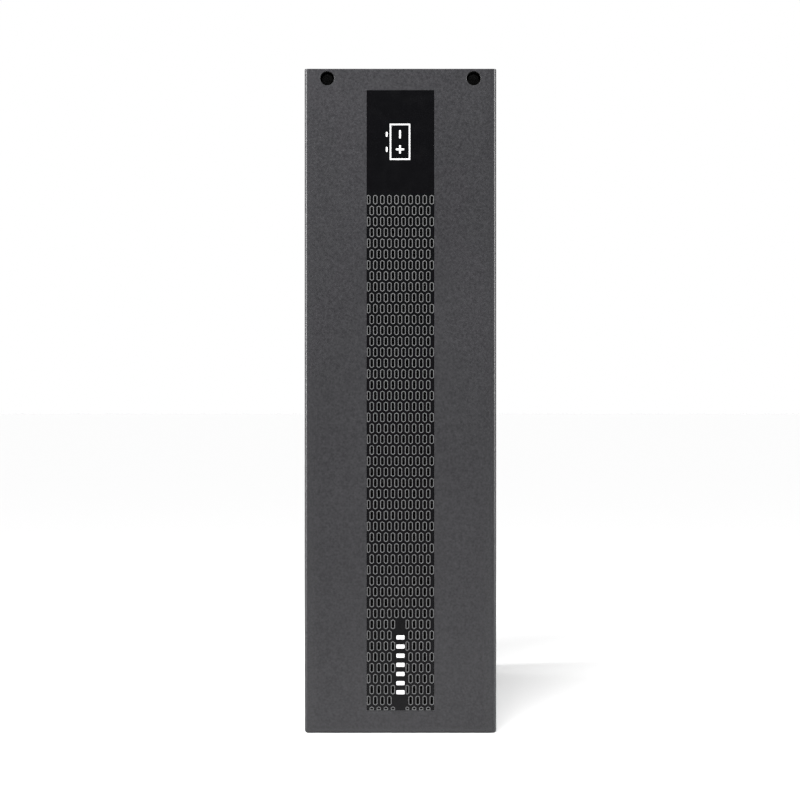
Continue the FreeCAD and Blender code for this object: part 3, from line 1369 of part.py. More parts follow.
def tray_makers():
    """Name and maker of each piece that goes with a tray."""
    makers = {
        "tray": tray,
        "tray_handle": tray_handle,
        "tray_thumbscrews": tray_thumbscrews,
        "tray_straps": tray_straps,
        "tray_links": tray_links,
        "tray_plug": tray_plug,
        "tray_fuse": tray_fuse,
        "tray_cells": tray_cells,
    }
    for number, (row, column) in enumerate(SERIES, 1):
        makers[f"battery_{number}"] = lambda r=row, c=column: battery_block(r, c)
    return makers


def nodes():
    made = {
        "front_cover_shell": front_cover_shell(),
        "front_grille": front_grille(),
        "grille_rims": grille_rims(),
        "front_marks": front_marks(),
        "dust_filter": dust_filter(),
        "filter_retainer": filter_retainer(),
        "cover_screws": cover_screws(),
        "chassis_pan": chassis_pan(),
        "chassis_lid": chassis_lid(),
        "rear_panel": rear_panel(),
        "bay_divider": bay_divider(),
        "tray_guides": tray_guides(),
        "clinch_nuts": clinch_nuts(),
        "lid_screws": lid_screws(),
        "rear_screws": rear_screws(),
        "receptacle_bulkhead": receptacle_bulkhead(),
        "tray_receptacles": both_ends(tray_receptacle()),
        "breaker_body": breaker_body(),
        "breaker_rail": breaker_rail(),
        "breaker_toggle": breaker_toggle(),
        "output_sockets": [output_socket(z) for z in SOCKET_Z],
        "output_contacts": output_contacts(),
        "detection_ports": detection_ports(),
        "detection_board": detection_board(),
        "earth_terminal": earth_terminal(),
        "harness_red": harness_red(),
        "harness_black": harness_black(),
        "earth_wire": earth_wire(),
    }
    made.update(lower(tray_makers()))
    made.update(upper(tray_makers()))
    return made


os.makedirs("parts", exist_ok=True)
for node_name, node_shape in nodes().items():
    solids = node_shape if isinstance(node_shape, list) else [node_shape]
    whole = Part.makeCompound([s for shape in solids for s in shape.Solids])
    whole.exportStep(f"parts/{node_name}.step")
    volume = round(whole.Volume / 1000, 2)
    print(node_name, len(whole.Solids), "solids,", volume, "cm3, valid", whole.isValid())
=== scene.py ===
# %% [markdown]
# # A rack and tower battery module
#
# The model arrives as a fixed frame: every moulding, sheet, screw, battery and wire already has its true
# shape, place and size. This lesson gives it its looks. It makes one finish for each thing that the pieces
# are made of, softens their edges, adds the thin printed and stuck-on details, and sets up a pale studio
# round it.
#
# The module stands on end with its moulded front towards -Y. Behind the front are two trays of sealed
# batteries, and at the rear are a breaker, two output sockets and an earth stud.

# %% Load the frame
import json
import math

import bmesh
import bpy
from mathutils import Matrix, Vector


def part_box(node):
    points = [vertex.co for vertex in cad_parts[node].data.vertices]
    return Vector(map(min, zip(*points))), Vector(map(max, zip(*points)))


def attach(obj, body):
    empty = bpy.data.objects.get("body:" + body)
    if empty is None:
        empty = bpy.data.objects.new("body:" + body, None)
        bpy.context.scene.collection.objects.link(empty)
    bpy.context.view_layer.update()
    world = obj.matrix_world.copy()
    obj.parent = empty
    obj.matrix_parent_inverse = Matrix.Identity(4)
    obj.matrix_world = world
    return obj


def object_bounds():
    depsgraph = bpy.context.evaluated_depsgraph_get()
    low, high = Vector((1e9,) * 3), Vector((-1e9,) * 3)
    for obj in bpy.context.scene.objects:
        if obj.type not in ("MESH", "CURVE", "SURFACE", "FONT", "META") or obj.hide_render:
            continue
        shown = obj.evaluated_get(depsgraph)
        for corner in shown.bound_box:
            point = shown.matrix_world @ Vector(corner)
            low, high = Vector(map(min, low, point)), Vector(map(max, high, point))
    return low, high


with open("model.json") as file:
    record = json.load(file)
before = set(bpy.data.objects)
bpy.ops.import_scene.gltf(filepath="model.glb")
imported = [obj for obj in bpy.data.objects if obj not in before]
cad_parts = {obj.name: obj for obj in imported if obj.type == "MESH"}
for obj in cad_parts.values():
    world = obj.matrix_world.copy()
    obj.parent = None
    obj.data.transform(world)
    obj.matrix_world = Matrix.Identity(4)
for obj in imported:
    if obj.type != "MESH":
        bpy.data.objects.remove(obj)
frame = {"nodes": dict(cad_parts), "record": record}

nodes = frame["nodes"]
case_low, case_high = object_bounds()

# %% [markdown]
# ## Arithmetic on sockets
#
# A finish is mostly arithmetic: how strong the grain is here, how worn the paint is there. Blender does it
# with Math nodes, which are tedious to wire by hand. One small class wraps a socket, so that
# `1 - mask * 0.3` adds the nodes by itself. Everything that isn't arithmetic, such as a noise or a shader,
# comes from its one `node` method.


# %% A socket that does arithmetic
class Socket:
    """One output socket in a material's node tree."""

    def __init__(self, tree, socket=None):
        self.tree = tree
        self.socket = socket

    def node(self, kind, settings=None, values=None, output=0):
        """Add a node. Its settings come first, then its sockets take numbers, colours or links."""
        made = self.tree.nodes.new(kind)
        for key, setting in (settings or {}).items():
            setattr(made, key, setting)
        for key, value in (values or {}).items():
            if isinstance(value, Socket):
                self.tree.links.new(value.socket, made.inputs[key])
            else:
                made.inputs[key].default_value = value
        return Socket(self.tree, made.outputs[output] if made.outputs else None)

    def maths(self, operation, *terms):
        """A Math node on one term or two."""
        return self.node("ShaderNodeMath", {"operation": operation}, dict(enumerate(terms)))

    def __add__(self, other):
        return self.maths("ADD", self, other)

    def __radd__(self, other):
        return self.maths("ADD", other, self)

    def __sub__(self, other):
        return self.maths("SUBTRACT", self, other)

    def __rsub__(self, other):
        return self.maths("SUBTRACT", other, self)

    def __mul__(self, other):
        return self.maths("MULTIPLY", self, other)

    def __rmul__(self, other):
        return self.maths("MULTIPLY", other, self)

    def least(self, other):
        return self.maths("MINIMUM", self, other)

    def most(self, other):
        return self.maths("MAXIMUM", self, other)

    def sine(self):
        return self.maths("SINE", self)

    def fade(self, low, high):
        """0 below low, 1 above high, and a smooth step between. High may be under low."""
        ends = {"Value": self, "From Min": low, "From Max": high}
        return self.node("ShaderNodeMapRange", {"interpolation_type": "SMOOTHSTEP"}, ends)

    def mix(self, low, high):
        """A colour between two, with this socket as the share of the second."""
        return self.node("ShaderNodeMix", {"data_type": "RGBA"}, {0: self, 6: low, 7: high}, output=2)


print("sockets can add, subtract, multiply, fade and mix")

# %% [markdown]
# ## What every finish needs
#
# All patterns are read from the piece's own coordinates in metres, so a grain of 0.4 mm is 0.4 mm on every
# piece and moves with the tray or cover that carries it. `pattern` gives a noise whose features have a
# stated size. `finish` joins what varies over the surface into one Principled shader. Numbers that are the
# same all over, such as a coat's roughness, are set on the shader itself.

# %% Helpers shared by the finishes
MM = 0.001
SAME_PLACE = 0.001 * MM  # vertices closer than this are one


def grey(level, warmth=0.0):
    """A neutral colour, a little warmer or colder."""
    return (level * (1 + warmth), level, level * (1 - warmth), 1.0)


def start(name):
    """A new empty material, and a Socket with no socket yet that adds nodes to it."""
    material = bpy.data.materials.new(name)
    material.use_nodes = True
    material.node_tree.nodes.clear()
    return material, Socket(material.node_tree)


def place_of(tree):
    """The point on the surface, in metres."""
    return tree.node("ShaderNodeTexCoord", output="Object")


def pattern(tree, size, detail=2.0, stretch=(1.0, 1.0, 1.0), twist=0.0):
    """Noise from 0 to 1 whose features are about size metres across, longer where stretch is larger."""
    scale = [1.0 / s for s in stretch]
    point = tree.node("ShaderNodeVectorMath", {"operation": "MULTIPLY"}, {0: place_of(tree), 1: scale})
    settings = {"Vector": point, "Scale": 1.0 / size, "Detail": detail, "Distortion": twist}
    return tree.node("ShaderNodeTexNoise", {}, settings)


def cells(tree, size, output="Distance"):
    """Cell pattern, for spangle, pores and turned flakes."""
    values = {"Vector": place_of(tree), "Scale": 1 / size}
    return tree.node("ShaderNodeTexVoronoi", {"feature": "F1"}, values, output)


def axes_of(tree):
    """The three coordinates of the point, as separate sockets."""
    split = tree.node("ShaderNodeSeparateXYZ", {}, {"Vector": place_of(tree)})
    return [Socket(tree.tree, output) for output in split.socket.node.outputs]


def near_edges(tree, low, high, width):
    """1 at the edges of a box and 0 beyond a width from them, on its surface.

    On a box's surface the nearest pair of faces is the one that the point lies on, so the second nearest
    tells how far the edge is. The second nearest of three distances is their median.
    """
    x, y, z = [(axis - a).least(b - axis) for axis, a, b in zip(axes_of(tree), low, high)]
    median = x.least(y).most(x.most(y).least(z))
    return median.fade(width, 0.0)


def facing_up(tree):
    """1 where the surface faces straight up, for dust that settles."""
    normal = tree.node("ShaderNodeNewGeometry", output="Normal")
    split = tree.node("ShaderNodeSeparateXYZ", {}, {"Vector": normal}, "Z")
    return split.fade(0.6, 1.0)


def finish(tree, material, colour, roughness, metallic=0.0, height=None, depth=0.0, **same_all_over):
    """Join what varies into a Principled shader. height is a 0 to 1 relief, depth its size in metres."""
    values = {"Base Color": colour, "Roughness": roughness, "Metallic": metallic}
    if height is not None:
        bump = {"Height": height, "Distance": depth, "Strength": 1.0}
        values["Normal"] = tree.node("ShaderNodeBump", {}, bump)
    for key, value in same_all_over.items():
        values[key.replace("_", " ").title().replace("Ior", "IOR")] = value
    shader = tree.node("ShaderNodeBsdfPrincipled", {}, values)
    tree.node("ShaderNodeOutputMaterial", {}, {"Surface": shader})
    return material


def whole_box(*names):
    """Lowest and highest corner of several pieces together."""
    lows, highs = zip(*(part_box(name) for name in names))
    low = [min(corner[i] for corner in lows) for i in range(3)]
    high = [max(corner[i] for corner in highs) for i in range(3)]
    return low, high


finishes = {}  # by material slot
print("helpers ready")

# %% [markdown]
# ## The front cover's plastic
#
# The cover is one ABS moulding. Its tool was spark-eroded, which leaves a fine even grain: tiny pits under
# half a millimetre that scatter the light, so the dark grey looks dry and slightly speckled. The colour
# also drifts a little over a large moulding, and the long edges are rubbed smoother by hands and packing. A
# flat grey would look like paper, so grain goes into the relief, a faint speckle into the colour and the
# rubbing into the roughness.


# %% Cover plastic
def cover_plastic():
    """Grained ABS with a faint speckle and rubbed long edges."""
    material, tree = start("cover_grey_grain")
    low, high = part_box("front_cover_shell")
    pits = pattern(tree, 0.5 * MM, detail=3)
    specks = pattern(tree, 1.3 * MM, detail=3)
    drift = pattern(tree, 90 * MM, detail=1)
    rubbed = near_edges(tree, low, high, 3.5 * MM) * pattern(tree, 14 * MM).fade(0.35, 0.7)
    shade = (specks - 0.5) * 1.4 + (drift - 0.5) * 0.3 + 0.5 + rubbed * 0.1
    colour = shade.mix((0.0052, 0.0051, 0.0058, 1), (0.0188, 0.0186, 0.0201, 1))
    roughness = 0.31 + (pits - 0.5) * 0.14 + (drift - 0.5) * 0.06 - rubbed * 0.06
    relief = pits + specks * 0.5
    return finish(tree, material, colour, roughness, height=relief, depth=0.03 * MM, specular_ior_level=0.22)


def painted_well_shade():
    """Painted shade: the wells' walls and floors are coloured near black for the shadow deep in the holes, so
    that no screw catches the eye.
    """
    material, tree = start("well_painted_shade_black")
    shade_speckle = pattern(tree, 0.9 * MM, detail=3)
    # Painted shade: a near-black colour in place of the shadow inside the deep wells.
    colour = shade_speckle.mix(grey(0.0015), grey(0.004))
    roughness = 0.8 + shade_speckle * 0.1
    return finish(tree, material, colour, roughness, height=shade_speckle, depth=0.05 * MM, specular_ior_level=0.1)


finishes["cover_grey"] = cover_plastic()
print("cover plastic made")

# %% [markdown]
# ## The grille strip
#
# The strip is a separate black moulding with a smooth satin face. Its relief is nearly nothing: a long,
# slow waviness that the mould leaves between the openings. A faint haze of handling marks goes into the
# roughness, and hardly any into the colour, because a deep black shows every smear. The rims round the
# openings are a second shot of pale plastic, and the print is a thin white ink that is a little uneven
# where it lies thin.


# %% Strip plastic, rims and print
def strip_plastic():
    """Deep black, smooth and satin."""
    material, tree = start("strip_black_satin")
    wave = pattern(tree, 22 * MM, detail=1)
    haze = pattern(tree, 9 * MM, detail=3, twist=0.4)
    specks = pattern(tree, 0.5 * MM, detail=2).fade(0.62, 0.8)
    colour = (haze * 0.4 + specks * 0.3).mix((0.0006, 0.0006, 0.0008, 1), (0.0016, 0.0016, 0.0019, 1))
    roughness = 0.20 + haze.fade(0.4, 0.75) * 0.06 + specks * 0.05
    relief = wave + specks * 0.02
    return finish(tree, material, colour, roughness, height=relief, depth=0.02 * MM, specular_ior_level=0.10)


def rim_plastic():
    """Grey plastic of the rims round the openings."""
    material, tree = start("rim_light_grey")
    patch = pattern(tree, 9 * MM, detail=3)
    fine = pattern(tree, 0.4 * MM, detail=2)
    colour = (patch * 0.7 + fine * 0.3).mix(grey(0.046, -0.01), grey(0.080, -0.01))
    return finish(tree, material, colour, 0.45 + fine * 0.15, height=fine, depth=0.02 * MM)


def white_print():
    """White ink, a little greyer where it lies thin."""
    material, tree = start("print_white")
    weave = pattern(tree, 0.25 * MM, detail=2)
    thin = pattern(tree, 3 * MM, detail=3).fade(0.25, 0.45)
    colour = (thin * 0.85 + weave * 0.15).mix(grey(0.31), grey(0.38))
    return finish(tree, material, colour, 0.55 + weave * 0.1, height=weave, depth=0.01 * MM)


def foam():
    """Open-cell filter foam: a web of dark struts round deep pores, with painted shade making the pores
    darker still.
    """
    material, tree = start("filter_foam_black")
    pores = cells(tree, 1.1 * MM)
    loose = pattern(tree, 5 * MM, detail=3)
    # Painted shade: the colour is darker where the relief is lowest, in the pores.
    colour = (pores * 0.8 + loose * 0.3).mix(grey(0.0012), grey(0.0003))
    return finish(tree, material, colour, 0.92 - loose * 0.06, height=1 - pores, depth=0.7 * MM)


finishes["grille_black"] = strip_plastic()
finishes["rim_grey"] = rim_plastic()
finishes["mark_white"] = white_print()
finishes["filter_foam"] = foam()
print("strip, rims, print and foam made")

# %% [markdown]
# ## Painted and plated steel
#
# The case is bent from steel sheet and powder coated in black. Powder coat has an orange-peel surface with
# lumps of one or two millimetres, and it rubs through to a dull grey at the folds where modules slide past
# rack rails. The rails also leave faint polished streaks that run from front to back. Inner sheets are zinc
# plated: a pale metal with a faint rolling direction and soft cloudy patches. Screws are nickel plated or
# blackened. All metals share one recipe and differ in colour, roughness and streak direction.


# %% Powder coat
def powder_coat():
    """Black orange-peel paint with worn folds, polished streaks and settled dust."""
    material, tree = start("case_black_powder")
    low, high = whole_box("chassis_pan", "chassis_lid")
    peel = pattern(tree, 1.6 * MM, detail=1.5)
    grit = pattern(tree, 0.35 * MM, detail=2)
    patches = pattern(tree, 70 * MM, detail=3)
    edge = near_edges(tree, low, high, 1.4 * MM)
    worn = edge * pattern(tree, 8 * MM, detail=5, twist=0.4).fade(0.50, 0.62)
    dust = facing_up(tree) * pattern(tree, 9 * MM, detail=6).fade(0.3, 0.9)
    slid = pattern(tree, 2.2 * MM, detail=4, stretch=(1, 40, 1)).fade(0.58, 0.72) * patches.fade(0.45, 0.65)
    paint = (patches * 0.6 + grit * 0.4).mix(grey(0.0085, -0.02), grey(0.0175, -0.02))
    dusty = (dust * 0.10 + slid * 0.12).mix(paint, grey(0.16, 0.05))
    colour = (worn * 0.8).mix(dusty, grey(0.11, 0.02))
    roughness = 0.44 + (peel - 0.5) * 0.10 + dust * 0.15 - worn * 0.10 - slid * 0.12
    return finish(tree, material, colour, roughness, height=peel + grit * 0.12, depth=0.06 * MM)


finishes["case_paint"] = powder_coat()
print("powder coat made")


# %% Bare and plated metals
def plated(name, dark, light, rough, stretch, warmth=0.0):
    """Metal with a rolling direction: stretch lengthens the streaks along one axis."""
    material, tree = start(name)
    streaks = pattern(tree, 0.45 * MM, detail=3, stretch=stretch)
    clouds = pattern(tree, 26 * MM, detail=4, twist=0.3)
    scuffs = pattern(tree, 7 * MM, detail=6, twist=1.2).fade(0.62, 0.70)
    colour = (streaks * 0.4 + clouds * 0.6).mix(grey(dark, warmth), grey(light, warmth))
    roughness = rough + (streaks - 0.5) * 0.14 + (clouds - 0.5) * 0.16 + scuffs * 0.10
    return finish(tree, material, colour, roughness, 1.0, streaks + clouds * 0.4, 0.012 * MM)


def zinc_sheet():
    """Zinc plating over rolled sheet, with the flakes of its crystals just showing."""
    material, tree = start("zinc_plated_sheet")
    flakes = cells(tree, 7 * MM, output="Color")
    flake = tree.node("ShaderNodeSeparateColor", {}, {"Color": flakes})
    streaks = pattern(tree, 0.5 * MM, detail=3, stretch=(1, 40, 1))
    clouds = pattern(tree, 45 * MM, detail=4)
    colour = (flake * 0.30 + clouds * 0.45 + streaks * 0.25).mix(grey(0.40, -0.02), grey(0.66, -0.01))
    roughness = 0.36 + (flake - 0.5) * 0.09 + (clouds - 0.5) * 0.14
    return finish(tree, material, colour, roughness, 1.0, streaks + flake * 0.2, 0.010 * MM)


finishes |= {
    "zinc_sheet": zinc_sheet(),
    "black_steel": plated("screw_black", 0.010, 0.030, 0.42, (1, 1, 1)),
    "bright_steel": plated("steel_nickel", 0.46, 0.66, 0.26, (1, 1, 14)),
    "contact_metal": plated("contact_silver", 0.62, 0.80, 0.24, (1, 20, 1), 0.03),
    "brass": plated("brass_plain", 0.34, 0.50, 0.30, (1, 10, 1), 0.45),
    "plate_pack": plated("lead_plates", 0.10, 0.17, 0.60, (1, 1, 6), -0.03),
}
print("zinc and five plated metals made")

# %% [markdown]
# ## Plain mouldings, rubber and ceramic
#
# Sockets, plugs, breaker, battery jars and guides are plain mouldings that differ in colour, gloss and how
# coarse their grain is, so one recipe makes them all. Glass-filled nylon has pale fibres that show as tiny
# flecks. Wire insulation is soft and a little dusty. Natural nylon lets some light in, which a small
# subsurface share gives.


# %% Mouldings
def moulding(name, dark, light, rough, grain=0.5, flecks=0.0, **same_all_over):
    """Plain moulded plastic. dark and light end its colour drift, and grain is its relief's size in mm."""
    material, tree = start(name)
    fine = pattern(tree, grain * MM, detail=3)
    drift = pattern(tree, 18 * MM, detail=3)
    fibres = pattern(tree, 0.30 * MM, detail=1, stretch=(1, 1, 5)).fade(0.66, 0.78) * flecks
    colour = (drift * 0.6 + fine * 0.4).mix(dark, light)
    flecked = fibres.mix(colour, grey(0.20, 0.03))
    roughness = rough + (fine - 0.5) * 0.14 + (drift - 0.5) * 0.10
    relief = fine + drift * 0.2
    return finish(tree, material, flecked, roughness, height=relief, depth=0.025 * MM, **same_all_over)


def insulation(name, dark, light):
    """Soft wire insulation, with a slow unevenness from extrusion."""
    material, tree = start(name)
    slow = pattern(tree, 6 * MM, detail=2)
    dust = pattern(tree, 2.2 * MM, detail=5).fade(0.5, 0.8)
    colour = (dust * 0.22).mix(slow.mix(dark, light), grey(0.25, 0.04))
    roughness = 0.46 + dust * 0.2 + slow * 0.06
    return finish(tree, material, colour, roughness, height=slow + dust * 0.2, depth=0.05 * MM)


def earth_insulation():
    """Green with a yellow stripe that winds slowly along the wire."""
    material, tree = start("wire_green_yellow")
    x, y, z = axes_of(tree)
    turn = (x * 1.7 + y + z) * (math.tau / (9 * MM))
    stripe = turn.sine().fade(0.25, 0.4)
    fine = pattern(tree, 2 * MM, detail=4)
    green = fine.mix((0.012, 0.13, 0.03, 1), (0.02, 0.19, 0.05, 1))
    colour = stripe.mix(green, (0.62, 0.50, 0.02, 1))
    return finish(tree, material, colour, 0.45 + fine * 0.15, height=fine, depth=0.03 * MM)


def circuit_board():
    """Green solder mask over copper tracks, which stand a little proud."""
    material, tree = start("circuit_board_green")
    brick = {"Vector": place_of(tree), "Scale": 260.0, "Mortar Size": 0.03}
    tracks = tree.node("ShaderNodeTexBrick", {}, brick, "Fac")
    fine = pattern(tree, 1.2 * MM, detail=4)
    colour = (tracks * 0.7 + fine * 0.2).mix((0.006, 0.06, 0.02, 1), (0.03, 0.20, 0.07, 1))
    return finish(tree, material, colour, 0.28 + fine * 0.12, height=tracks + fine * 0.1, depth=0.03 * MM)


def battery_plastic():
    """The jars' flame-retardant ABS: dark grey, with a coarse erosion grain and scuffs from handling."""
    material, tree = start("battery_jar_grey")
    grain = pattern(tree, 0.8 * MM, detail=3)
    scuffs = pattern(tree, 11 * MM, detail=6, stretch=(1, 3, 1), twist=1.5).fade(0.60, 0.66)
    drift = pattern(tree, 50 * MM, detail=2)
    plain = (drift * 0.5 + grain * 0.5).mix(grey(0.040, -0.04), grey(0.066, -0.04))
    colour = (scuffs * 0.30).mix(plain, grey(0.16))
    roughness = 0.48 + (grain - 0.5) * 0.20 + scuffs * 0.08
    return finish(tree, material, colour, roughness, height=grain, depth=0.06 * MM)


finishes |= {
    "nylon": moulding("nylon_natural", grey(0.58, 0.06), grey(0.72, 0.05), 0.45, 0.9, subsurface_weight=0.15),
    "socket_black": moulding("socket_glass_filled", grey(0.006), grey(0.014), 0.46, 0.6, flecks=0.35),
    "breaker_grey": moulding("breaker_light_grey", grey(0.40, 0.01), grey(0.50, 0.01), 0.42, 0.5),
    "toggle_black": moulding("lever_black", grey(0.007), grey(0.012), 0.22, 1.5, coat_weight=0.3),
    "fuse_body": moulding("fuse_ceramic", grey(0.50, 0.05), grey(0.66, 0.05), 0.34, 0.7),
    "wire_red": insulation("wire_red", (0.30, 0.010, 0.008, 1), (0.46, 0.02, 0.014, 1)),
    "wire_black": insulation("wire_black", grey(0.006), grey(0.014)),
    "wire_green": earth_insulation(),
    "board_green": circuit_board(),
    "battery_case": battery_plastic(),
}
print("mouldings, wires, board and jars made")

# %% [markdown]
# ## Each finish on its pieces
#
# The frame names a material slot for every piece, such as case_paint for the pan and the lid. Pieces that
# are painted or moulded alike share a slot, so they share one material too, and a change to the paint
# changes the whole case.

# %% Put each finish on its pieces
slot_of = {part["node"]: part["material_slot"] for part in frame["record"]["subparts"]}
for name, piece in nodes.items():
    piece.data.materials.clear()
    piece.data.materials.append(finishes[slot_of[name]])
print(len(finishes), "finishes on", len(nodes), "pieces")

# %% [markdown]
# ## Second colours
#
# A few pieces are several things in one: a battery's terminals are tinned metal on a plastic lid, the
# push-on sleeves are red on positive terminals and black on negative ones, and a fuse has metal caps.
# Blender gives each face its own material number, so the loose parts of a piece are found first and each
# gets the right one. The cover's screw wells are coloured near black inside as painted shade, for the
# shadow deep in the holes. They belong to the same solid as the cover, so their faces are picked by where
# they lie instead.


# %% Colour the loose parts of a piece
def loose_parts(piece):
    """Lists of face numbers, one for each unconnected part. Vertices at the same place count as one."""
    mesh = piece.data
    first_at, parent = {}, []
    for vertex in mesh.vertices:
        key = tuple(round(c / SAME_PLACE) for c in vertex.co)
        parent.append(first_at.setdefault(key, vertex.index))

    def root(i):
        while parent[i] != i:
            parent[i] = parent[parent[i]]
            i = parent[i]
        return i

    for face in mesh.polygons:
        first, *others = (root(v) for v in face.vertices)
        for other in others:
            parent[root(other)] = root(first)
    parts = {}
    for face in mesh.polygons:
        parts.setdefault(root(face.vertices[0]), []).append(face.index)
    return list(parts.values())


def span_of(piece, faces):
    """Lowest and highest corner of some faces."""
    points = [piece.data.vertices[v].co for f in faces for v in piece.data.polygons[f].vertices]
    low = Vector([min(p[i] for p in points) for i in range(3)])
    high = Vector([max(p[i] for p in points) for i in range(3)])
    return low, high


def recolour(name, material, chosen):
    """Give a second material to each loose part that chosen(low, high) picks."""
    piece = nodes[name]
    piece.data.materials.append(material)
    number = len(piece.data.materials) - 1
    count = 0
    for faces in loose_parts(piece):
        if chosen(*span_of(piece, faces)):
            count += 1
            for face in faces:
                piece.data.polygons[face].material_index = number
    return count


def recolour_faces(name, material, chosen):
    """Give a second material to each face whose centre chosen(point) picks."""
    piece = nodes[name]
    piece.data.materials.append(material)
    number = len(piece.data.materials) - 1
    picked = [face for face in piece.data.polygons if chosen(face.center)]
    for face in picked:
        face.material_index = number
    return len(picked)


batteries = [name for name in nodes if "_battery_" in name]


def thin_tab(low, high):
    """A terminal is the only loose part of a battery that is thinner than 2 mm."""
    return (high - low).z < 2 * MM


tabs = sum(recolour(name, finishes["contact_metal"], thin_tab) for name in batteries)
print(tabs, "terminals tinned on", len(batteries), "batteries")


# %% Wells, painted near black as shade, seen as two black dots
screws_low, screws_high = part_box("cover_screws")
WELL_R = 4.75 * MM  # just over the wells' own radius
well_z = (screws_low.z + screws_high.z) / 2
well_x = screws_high.x - (screws_high.z - screws_low.z) / 2
mouth_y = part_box("front_cover_shell")[0].y + 0.15 * MM
floor_y = screws_low.y + 5 * MM


def in_well(point):
    """Faces on a well's wall or floor, behind its eased mouth."""
    across = math.hypot(abs(point.x) - well_x, point.z - well_z)
    return across < WELL_R and mouth_y < point.y < floor_y


# Painted shade: the wells' faces get a near-black colour in place of the shadow deep in the holes.
print(recolour_faces("front_cover_shell", painted_well_shade(), in_well), "faces in the wells made black")


# %% Sleeves and fuse caps
middle_z = (case_low.z + case_high.z) / 2
first_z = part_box("lower_battery_1")[0].z
battery_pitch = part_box("lower_battery_2")[0].z - first_z


def black_sleeve(low, high):
    """The sleeve of a negative terminal, past its battery's middle. The upper tray is mirrored."""
    middle = (low.z + high.z) / 2
    if middle > middle_z:
        middle = case_high.z - middle
    share = ((middle - first_z) / battery_pitch) % 1.0
    return (high - low).y < 9 * MM and (high - low).z < 6 * MM and share > 0.5


def fuse_cap(low, high):
    """The caps are short; the fuse's body between them is long."""
    return (high - low).y < 12 * MM


black_count = cap_count = 0
for side in ("lower", "upper"):
    black_count += recolour(f"{side}_tray_links", finishes["wire_black"], black_sleeve)
    cap_count += recolour(f"{side}_tray_fuse", finishes["bright_steel"], fuse_cap)
print(black_count, "sleeves made black,", cap_count, "metal parts on the fuses")

# %% [markdown]
# ## Softened edges
#
# Cut and folded sheet has no knife edges: its corners catch a thin line of light. The frame's corners are
# exact, so a narrow bevel is added to each piece by modifiers, which leave the piece's own mesh as it is.
# Its faces arrive unjoined, so a Weld comes first. A Weighted Normal comes last: it lets each large face
# keep its own direction up to the bevel, so that flat sheet looks flat. The grille's rims and the marks are
# too fine for it and stay crisp.


# %% Bevel the pieces
SHARP = math.radians(35)  # an edge that turns more than this is rounded


def soften(piece, width):
    """Weld the piece's faces, round its edges by width metres, and keep its flat faces flat."""
    for face in piece.data.polygons:
        face.use_smooth = True
    weld = piece.modifiers.new("join", "WELD")
    weld.merge_threshold = SAME_PLACE
    bevel = piece.modifiers.new("soften", "BEVEL")
    bevel.width = width
    bevel.segments = 2
    bevel.limit_method = "ANGLE"
    bevel.angle_limit = SHARP
    bevel.use_clamp_overlap = True
    flatten = piece.modifiers.new("flatten", "WEIGHTED_NORMAL")
    flatten.mode = "FACE_AREA"
    flatten.weight = 100


# Widths of the softened edges, in mm.
EDGE = {
    "front_cover_shell": 0.25,
    "chassis_pan": 0.20,
    "chassis_lid": 0.20,
    "rear_panel": 0.15,
    "breaker_body": 0.25,
    "breaker_toggle": 0.30,
    "output_sockets": 0.30,
    "detection_ports": 0.15,
    "earth_terminal": 0.12,
    "rear_screws": 0.08,
    "filter_retainer": 0.15,
}
for side in ("lower", "upper"):
    EDGE[f"{side}_tray"] = 0.18
    EDGE[f"{side}_tray_plug"] = 0.25
    EDGE[f"{side}_tray_fuse"] = 0.25
    EDGE[f"{side}_tray_straps"] = 0.12
    EDGE[f"{side}_tray_thumbscrews"] = 0.12
for name in batteries:
    EDGE[name] = 0.30
for name, width in EDGE.items():
    soften(nodes[name], width * MM)
print(len(EDGE), "pieces softened")

# %% [markdown]
# ## Thin printed and stuck-on details
#
# Signs on the rear panel are screen printed, and each battery wears two plain stickers on its lid. Both are
# thin flat shapes with rounded outlines, so one maker turns an outline into a solid of a given thickness on
# any plane. Only general signs are used: plus, minus, on, off and earth. The stickers carry colour bands
# and no lettering.


# %% Flat shapes on a plane
def rounded(width, height, radius):
    """Outline of a rounded rectangle about the origin."""
    steps = 5  # for each corner
    points = []
    for corner, (sx, sy) in enumerate(((1, 1), (-1, 1), (-1, -1), (1, -1))):
        cx, cy = sx * (width / 2 - radius), sy * (height / 2 - radius)
        for k in range(steps + 1):
            a = math.pi / 2 * (corner + k / steps)
            points.append((cx + radius * math.cos(a), cy + radius * math.sin(a)))
    return points


def flat_piece(name, body, outlines, place, across, up, thickness, material):
    """Solids on a plane: each outline is pushed out along the plane's normal by the thickness."""
    across, up = Vector(across), Vector(up)
    normal = across.cross(up)
    mesh, shape = bpy.data.meshes.new(name), bmesh.new()
    for outline in outlines:
        base = [shape.verts.new(Vector(place) + across * u + up * v) for u, v in outline]
        lid = [shape.verts.new(v.co + normal * thickness) for v in base]
        shape.faces.new(base[::-1])
        shape.faces.new(lid)
        for i in range(len(base)):
            j = (i + 1) % len(base)
            shape.faces.new((base[i], base[j], lid[j], lid[i]))
    shape.to_mesh(mesh)
    shape.free()
    mesh.materials.append(material)
    piece = bpy.data.objects.new(name, mesh)
    bpy.context.scene.collection.objects.link(piece)
    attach(piece, body)


def moved(outline, u, v):
    """The outline, moved by u across and v up."""
    return [(a + u, b + v) for a, b in outline]


def plus_outline(size, stroke):
    """A plus sign as one outline of twelve corners."""
    s, t = size / 2, stroke / 2
    quarter = [(s, -t), (s, t), (t, t)]
    points = []
    for turn in range(4):
        a = math.pi / 2 * turn
        points += [(x * math.cos(a) - y * math.sin(a), x * math.sin(a) + y * math.cos(a)) for x, y in quarter]
    return points


